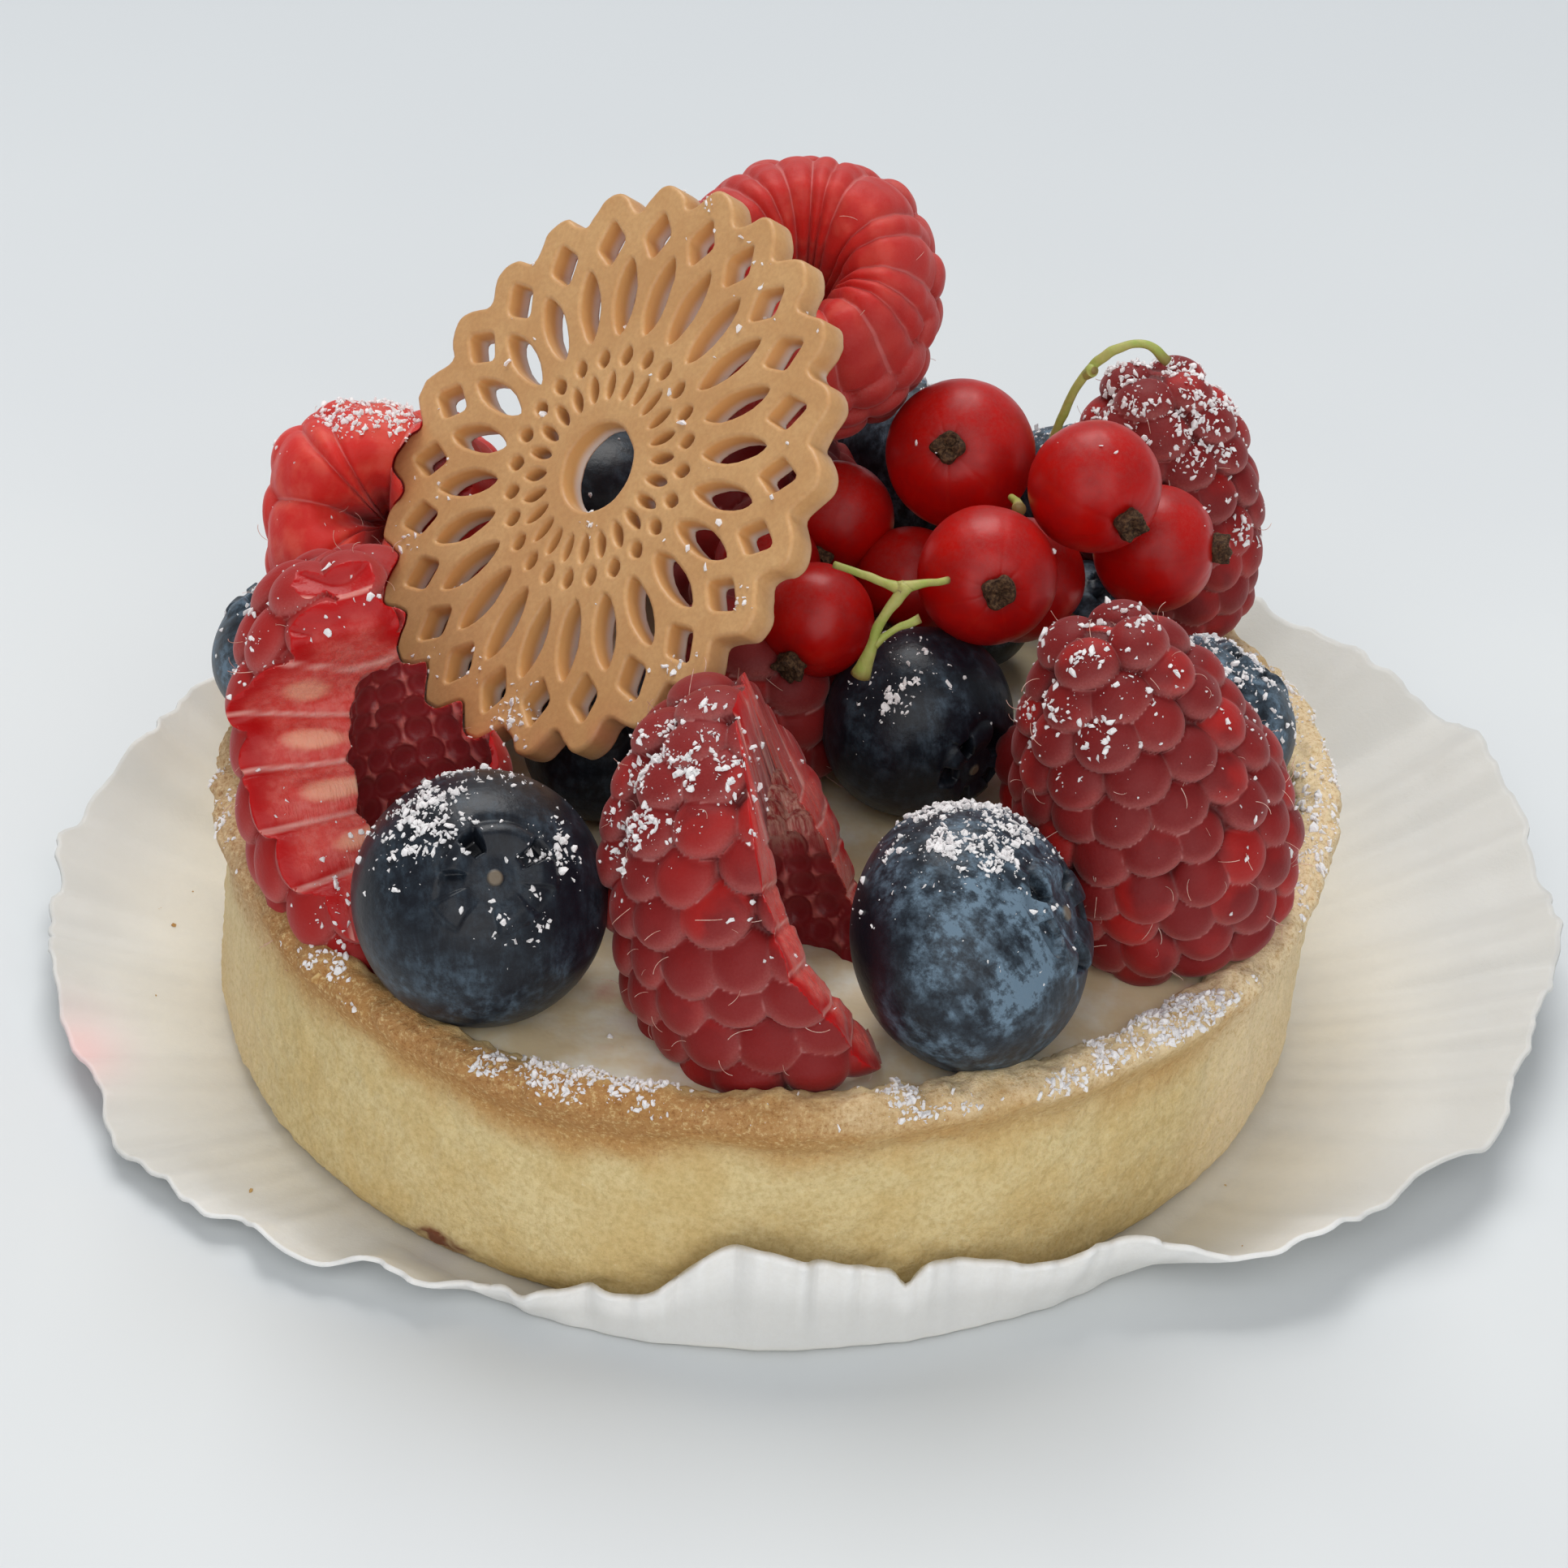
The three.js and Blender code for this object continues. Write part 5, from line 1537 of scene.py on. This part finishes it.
def hair_tree():
    """Geometry nodes that set short bent hairs on a surface."""
    t = Strewing("Hairs", "Length")
    bend = {
        "Resolution": 6, "Start": (0, 0, -0.1), "Start Handle": (0, 0, 0.4), "End Handle": (0.3, 0, 0.8),
        "End": (0.75, 0.1, 0.9),
    }
    line = t.add("GeometryNodeCurvePrimitiveBezierSegment", bend)
    thin = t.run(t.add("GeometryNodeSplineParameter"), 1.0, 0.25)
    line = t.add("GeometryNodeSetCurveRadius", {"Curve": line, "Radius": thin})
    ring = t.add("GeometryNodeCurvePrimitiveCircle", {"Resolution": 4, "Radius": 0.017})
    hair = t.add("GeometryNodeCurveToMesh", {"Curve": line, "Profile Curve": ring, "Fill Caps": True})
    spin = {"Rotation": t.spots["Rotation"], "Rotate By": t.random((-0.7, -0.7, 0), (0.7, 0.7, TURN), 2)}
    turn = t.add("FunctionNodeRotateRotation", spin, rotation_space="LOCAL")
    return t.finished(t.placed(hair, turn, t.times(t.random(0.35, 1.0, 4), t.given["Length"])))


def strew(name, tree, ground, values, material):
    """Runs a scattering tree over a ground mesh and keeps the result as one plain piece."""
    base = add_object("ground_for_" + name, ground)
    modifier = base.modifiers.new("Strew", "NODES")
    modifier.node_group = tree
    values = {**values, "Material": material}
    for item in tree.interface.items_tree:
        if item.in_out == "INPUT" and item.name in values:
            modifier[item.identifier] = values[item.name]
    mesh = finished_mesh(base)
    bpy.data.objects.remove(base)
    if not len(mesh.polygons):
        raise RuntimeError(f"{name} came out empty")
    if "strewn" in mesh.attributes:
        mesh.attributes.remove(mesh.attributes["strewn"])
    make_piece(name, mesh, [material], replaces=False)


def ground_mesh(parts):
    """A mesh to strew on, from (points in millimetres, triangles, thickness of the strewing) parts."""
    points, faces, strewn = joined([(points, ((), triangles), thick) for points, triangles, thick in parts])
    return new_mesh("ground", points, faces, {"strewn": strewn})


def open_sky(pieces, cell=0.6):
    """For each piece, how open each point is to what falls from above, from 0 to 1."""
    clouds = {name: points_of(mesh_of(name)) for name in pieces}
    every = np.concatenate(list(clouds.values()))
    low = every[:, :2].min(0) - 2
    top = np.full(np.ceil((every[:, :2].max(0) + 2 - low) / cell).astype(int), -99.0)

    def cells(points):
        return tuple(((points[:, :2] - low) / cell).astype(int).T)

    np.maximum.at(top, cells(every), every[:, 2])
    return {
        name: 1 - smooth((top[cells(points)] - points[:, 2] - 0.8) / 2.2) for name, points in clouds.items()
    }


def dusting(name, points):
    """How much icing sugar falls on each point of a piece that is open to the sky."""
    general, *patches = DUSTING[name]
    amount = np.full(len(points), float(general))
    away = points - (points.max(0) + points.min(0)) / 2
    away /= np.maximum(np.linalg.norm(away, axis=1, keepdims=True), 1e-6)
    for *way, wide, share in patches:
        off = np.degrees(np.arccos(np.clip(away @ unit(way), -1, 1)))
        amount += share * (1 - smooth((off - 0.5 * wide) / (0.9 * wide)))
    if name == "crust":
        angle = np.degrees(about_axis(points)[1])
        lip = smooth((points[:, 2] - 17.3) / 0.8)
        for start, end, share in LIP_DUSTING:
            middle, half = (start + end) / 2, (end - start) / 2
            off = np.abs((angle - middle + 180) % 360 - 180)
            amount += share * (1 - smooth((off - half + 2) / 4)) * lip
        amount *= smooth((points[:, 2] - 15) / 1.5)
    if name == "lace_disc":
        flat = (points - DISC_CENTRE) @ disc_rows().T
        for x, y, wide, share in DISC_DUSTING:
            off = np.hypot(flat[:, 0] - x, flat[:, 1] - y) / (0.8 * wide)
            amount += share * hill(off) * (flat[:, 2] > 0.6)
    return amount


def sugar_ground(clustered):
    """Where icing sugar lies: on open tops, in patches, and in clusters where asked."""
    hidden = [name for name in (*BLUEBERRIES, *RASPBERRIES, *CURRANTS) if name not in DUSTING]
    sky = open_sky([*DUSTING, *hidden])
    parts = []
    for name in DUSTING:
        mesh = mesh_of(name)
        points, up = points_of(mesh), read(mesh.vertex_normals, "vector")[:, 2]
        amount = dusting(name, points)
        if clustered:
            cluster = 0.6 * lump(points, 1.7, 51) + 0.55 * lump(points, 0.7, 52) + MORE_FLECKS.get(name, 0)
            amount = amount * smooth((cluster + 0.25 * np.minimum(amount, 1.4) - 0.12) / 0.3)
        amount = amount * (smooth((up + 0.05) / 0.6) * sky[name])
        triangles = triangles_of(mesh)
        kept = triangles[amount[triangles].max(1) > 0.002]
        if len(kept):
            used, again = np.unique(kept, return_inverse=True)
            parts.append((points[used], again.reshape(-1, 3), amount[used]))
    return ground_mesh(parts)


def hair_ground():
    """Where raspberry hairs stand: on the drupelets' outer skin."""
    parts = []
    for name in RASPBERRIES:
        mesh = mesh_of(name)
        cut = read(mesh.attributes["flesh"].data, "vector")[:, 0] > 0.5
        thick = np.where(cut, 0, 1.0) * (0.25 if name in OPEN_ENDS else 1)
        parts.append((points_of(mesh), triangles_of(mesh), thick))
    return ground_mesh(parts)


def crumb_ground():
    """Where crumbs lie: on the paper close to the crust's foot and on the crust's lip."""
    paper, crust = mesh_of("paper_case"), mesh_of("crust")
    points, up = points_of(paper), read(paper.vertex_normals, "vector")[:, 2]
    across = about_axis(points + (1, 1, 0))[0]
    thick = smooth((up - 0.3) / 0.3) * smooth((across - 37.5) / 1.5) * (1 - smooth((across - 41) / 8))
    rim = points_of(crust)
    edge = 0.8 * smooth((rim[:, 2] - 16.5) / 1.5)
    return ground_mesh([(points, triangles_of(paper), thick), (rim, triangles_of(crust), edge)])


# ---------------------------------------------------------------- stage


def make_floor():
    """A wide pale table, with painted shade on its far side."""
    half = 2500
    corners = [(-half, -half, 0), (half, -half, 0), (half, half, 0), (-half, half, 0)]
    f = Finish("Pale table", 0.25, 0.5)
    # painted shade: the table grows darker towards the back
    back = f.span(f.add("ShaderNodeSeparateXYZ", {0: f.place}, output=1), 0.03, 0.2)
    cloud = f.span(f.noise(60), 0.3, 0.7)
    colour = f.coats((214, 218, 221), (cloud, (218, 222, 224)), (back, (201, 206, 210)))
    floor = add_object("floor", new_mesh("floor", corners, ([(0, 1, 2, 3)], ())))
    floor.data.materials.append(f.finished(colour))


def add_softbox(name, at, size, watts):
    """A square soft light that shines on the tart's middle."""
    heart, tint = (0, 0, 0.03), (1, 0.985, 0.965)
    lamp = bpy.data.lights.new(name, "AREA")
    lamp.shape, lamp.size, lamp.energy, lamp.color = "SQUARE", size, watts, tint
    light = bpy.data.objects.new(name, lamp)
    light.location = at
    light.rotation_euler = (Vector(heart) - Vector(at)).to_track_quat("-Z", "Y").to_euler()
    bpy.context.scene.collection.objects.link(light)


def make_lights(scene):
    """A bright room with a large soft light overhead and a fill from the front."""
    world = bpy.data.worlds.new("Pale room")
    scene.world = world
    world.use_nodes = True
    back = world.node_tree.nodes["Background"]
    back.inputs["Color"].default_value = (*screen_colour(238, 242, 246), 1)
    back.inputs["Strength"].default_value = 0.37
    add_softbox("overhead", (-0.1, 0.75, 1.25), 0.9, 14.5)
    add_softbox("front_fill", (0.1, -1.3, 0.85), 1.9, 17)
    scene.view_settings.view_transform = "Standard"


def camera_place():
    """Where the camera is, and its own directions: right, up and back."""
    rise, roll = CAMERA_ELEVATION, CAMERA_ROLL
    back = np.array([0, -math.cos(rise), math.sin(rise)])
    up, side = np.array([0, math.sin(rise), math.cos(rise)]), np.array([1.0, 0, 0])
    right, top = math.cos(roll) * side + math.sin(roll) * up, math.cos(roll) * up - math.sin(roll) * side
    return back * CAMERA_DISTANCE + right * CAMERA_ASIDE + top * CAMERA_RAISED, (right, top, back)


def make_camera(scene):
    """The camera, turned and set off as the view needs."""
    at, ways = camera_place()
    lens = bpy.data.cameras.new("camera")
    lens.lens, lens.sensor_width = CAMERA_LENS, 36
    lens.clip_start, lens.clip_end = 0.01, 20
    camera = bpy.data.objects.new("camera", lens)
    camera.matrix_world = Matrix.Translation(Vector(at * MM)) @ Matrix(ways).transposed().to_4x4()
    scene.collection.objects.link(camera)
    scene.camera = camera


# ---------------------------------------------------------------- operators


class TART_OT_stage(bpy.types.Operator):
    """Make the pale floor, the soft lights and the camera"""

    bl_idname = "tart.make_stage"
    bl_label = "Stage"

    def execute(self, context):
        make_floor()
        make_lights(context.scene)
        make_camera(context.scene)
        return {"FINISHED"}


class TART_OT_paper(bpy.types.Operator):
    """Make the opened paper case"""

    bl_idname = "tart.make_paper"
    bl_label = "Paper case"

    def execute(self, context):
        make_piece("paper_case", paper_mesh(), [paper_finish()])
        return {"FINISHED"}


class TART_OT_crust(bpy.types.Operator):
    """Make the shortcrust shell"""

    bl_idname = "tart.make_crust"
    bl_label = "Crust"

    def execute(self, context):
        make_piece("crust", crust_mesh(), [crust_finish()])
        return {"FINISHED"}


class TART_OT_cream(bpy.types.Operator):
    """Make the cream filling"""

    bl_idname = "tart.make_cream"
    bl_label = "Cream"

    def execute(self, context):
        make_piece("cream", cream_mesh(), [cream_finish()])
        return {"FINISHED"}


class TART_OT_disc(bpy.types.Operator):
    """Make the pierced lace disc"""

    bl_idname = "tart.make_disc"
    bl_label = "Lace disc"

    def execute(self, context):
        make_piece("lace_disc", disc_mesh(), [disc_finish()])
        return {"FINISHED"}


class TART_OT_blueberries(bpy.types.Operator):
    """Make the blueberries"""

    bl_idname = "tart.make_blueberries"
    bl_label = "Blueberries"

    def execute(self, context):
        material = blueberry_finish()
        for number, name in enumerate(BLUEBERRIES):
            make_blueberry(name, number, material)
        return {"FINISHED"}


class TART_OT_raspberries(bpy.types.Operator):
    """Make the raspberries"""

    bl_idname = "tart.make_raspberries"
    bl_label = "Raspberries"

    def execute(self, context):
        velvety = raspberry_finish("Raspberry", 1.5, 0.03)
        clear = raspberry_finish("Clear raspberry", 5, 0.24)
        for number, name in enumerate(RASPBERRIES):
            make_raspberry(name, number, clear if name in OPEN_ENDS else velvety)
        return {"FINISHED"}


class TART_OT_currants(bpy.types.Operator):
    """Make the red currants"""

    bl_idname = "tart.make_currants"
    bl_label = "Red currants"

    def execute(self, context):
        skin, tuft = currant_finish(), tuft_finish()
        for number, name in enumerate(CURRANTS):
            make_currant(name, number, skin, tuft)
        return {"FINISHED"}


class TART_OT_stems(bpy.types.Operator):
    """Make the currants' stems"""

    bl_idname = "tart.make_stems"
    bl_label = "Stems"

    def execute(self, context):
        material = stem_finish()
        for name in STEMS:
            make_stem(name, material)
        return {"FINISHED"}


class TART_OT_hairs(bpy.types.Operator):
    """Set fine hairs on the raspberries"""

    bl_idname = "tart.make_hairs"
    bl_label = "Raspberry hairs"

    def execute(self, context):
        material = plain_grain_finish("Raspberry hair", (206, 150, 134), (232, 202, 190), 0.45)
        values = {"Density": 0.055 / MM**2, "Length": context.scene.tart_fruit.hair_length, "Seed": 5}
        strew("raspberry_hairs", hair_tree(), hair_ground(), values, material)
        return {"FINISHED"}


class TART_OT_crumbs(bpy.types.Operator):
    """Strew a few crumbs round the crust's foot"""

    bl_idname = "tart.make_crumbs"
    bl_label = "Crumbs"

    def execute(self, context):
        material = plain_grain_finish("Crumbs", (176, 132, 78), (214, 184, 128), 0.8)
        values = {"Density": 0.014 / MM**2, "Smallest": 0.08 * MM, "Largest": 0.32 * MM, "Seed": 12}
        strew("crust_crumbs", grain_tree("Crumb grains"), crumb_ground(), values, material)
        return {"FINISHED"}


class TART_OT_sugar(bpy.types.Operator):
    """Dust the tart with icing sugar"""

    bl_idname = "tart.make_sugar"
    bl_label = "Icing sugar"

    def execute(self, context):
        look, material, tree = context.scene.tart_sugar, sugar_finish(), grain_tree("Grains")
        # name: whether in clusters, grains to a square millimetre, smallest and largest as shares of a fleck
        kinds = {"sugar_flecks": (True, 9, 0.3, 1), "sugar_dust": (False, 2.2, 0.1, 0.28)}
        for number, (name, (clustered, density, least, most)) in enumerate(kinds.items()):
            values = {
                "Density": density * look.amount / MM**2, "Smallest": least * look.fleck,
                "Largest": most * look.fleck, "Seed": look.seed + number,
            }
            strew(name, tree, sugar_ground(clustered), values, material)
        return {"FINISHED"}


class TART_PT_panel(bpy.types.Panel):
    """Lists the tart's settings and makers"""

    bl_label = "Berry tart"
    bl_idname = "TART_PT_panel"
    bl_space_type = "VIEW_3D"
    bl_region_type = "UI"
    bl_category = "Tart"

    def draw(self, context):
        for group, scene_key in GROUPS.items():
            box = self.layout.box()
            box.label(text=group.__doc__)
            for key in group.__annotations__:
                box.prop(getattr(context.scene, scene_key), key)
        for maker in MAKERS:
            self.layout.operator(maker.bl_idname)


GROUPS = {
    TartPastry: "tart_pastry",
    TartFruit: "tart_fruit",
    TartPaper: "tart_paper",
    TartSugar: "tart_sugar",
}
MAKERS = (
    TART_OT_stage, TART_OT_paper, TART_OT_crust, TART_OT_cream, TART_OT_disc, TART_OT_blueberries,
    TART_OT_raspberries, TART_OT_currants, TART_OT_stems, TART_OT_hairs, TART_OT_crumbs, TART_OT_sugar,
)


def register():
    for group, key in GROUPS.items():
        bpy.utils.register_class(group)
        setattr(bpy.types.Scene, key, PointerProperty(type=group))
    for kind in (*MAKERS, TART_PT_panel):
        bpy.utils.register_class(kind)


def unregister():
    for kind in reversed((*MAKERS, TART_PT_panel)):
        bpy.utils.unregister_class(kind)
    for group, key in GROUPS.items():
        delattr(bpy.types.Scene, key)
        bpy.utils.unregister_class(group)


def main():
    """Makes every piece in order."""
    register()
    for maker in MAKERS:
        family, verb = maker.bl_idname.split(".")
        getattr(getattr(bpy.ops, family), verb)()


if __name__ == "__main__":
    main()
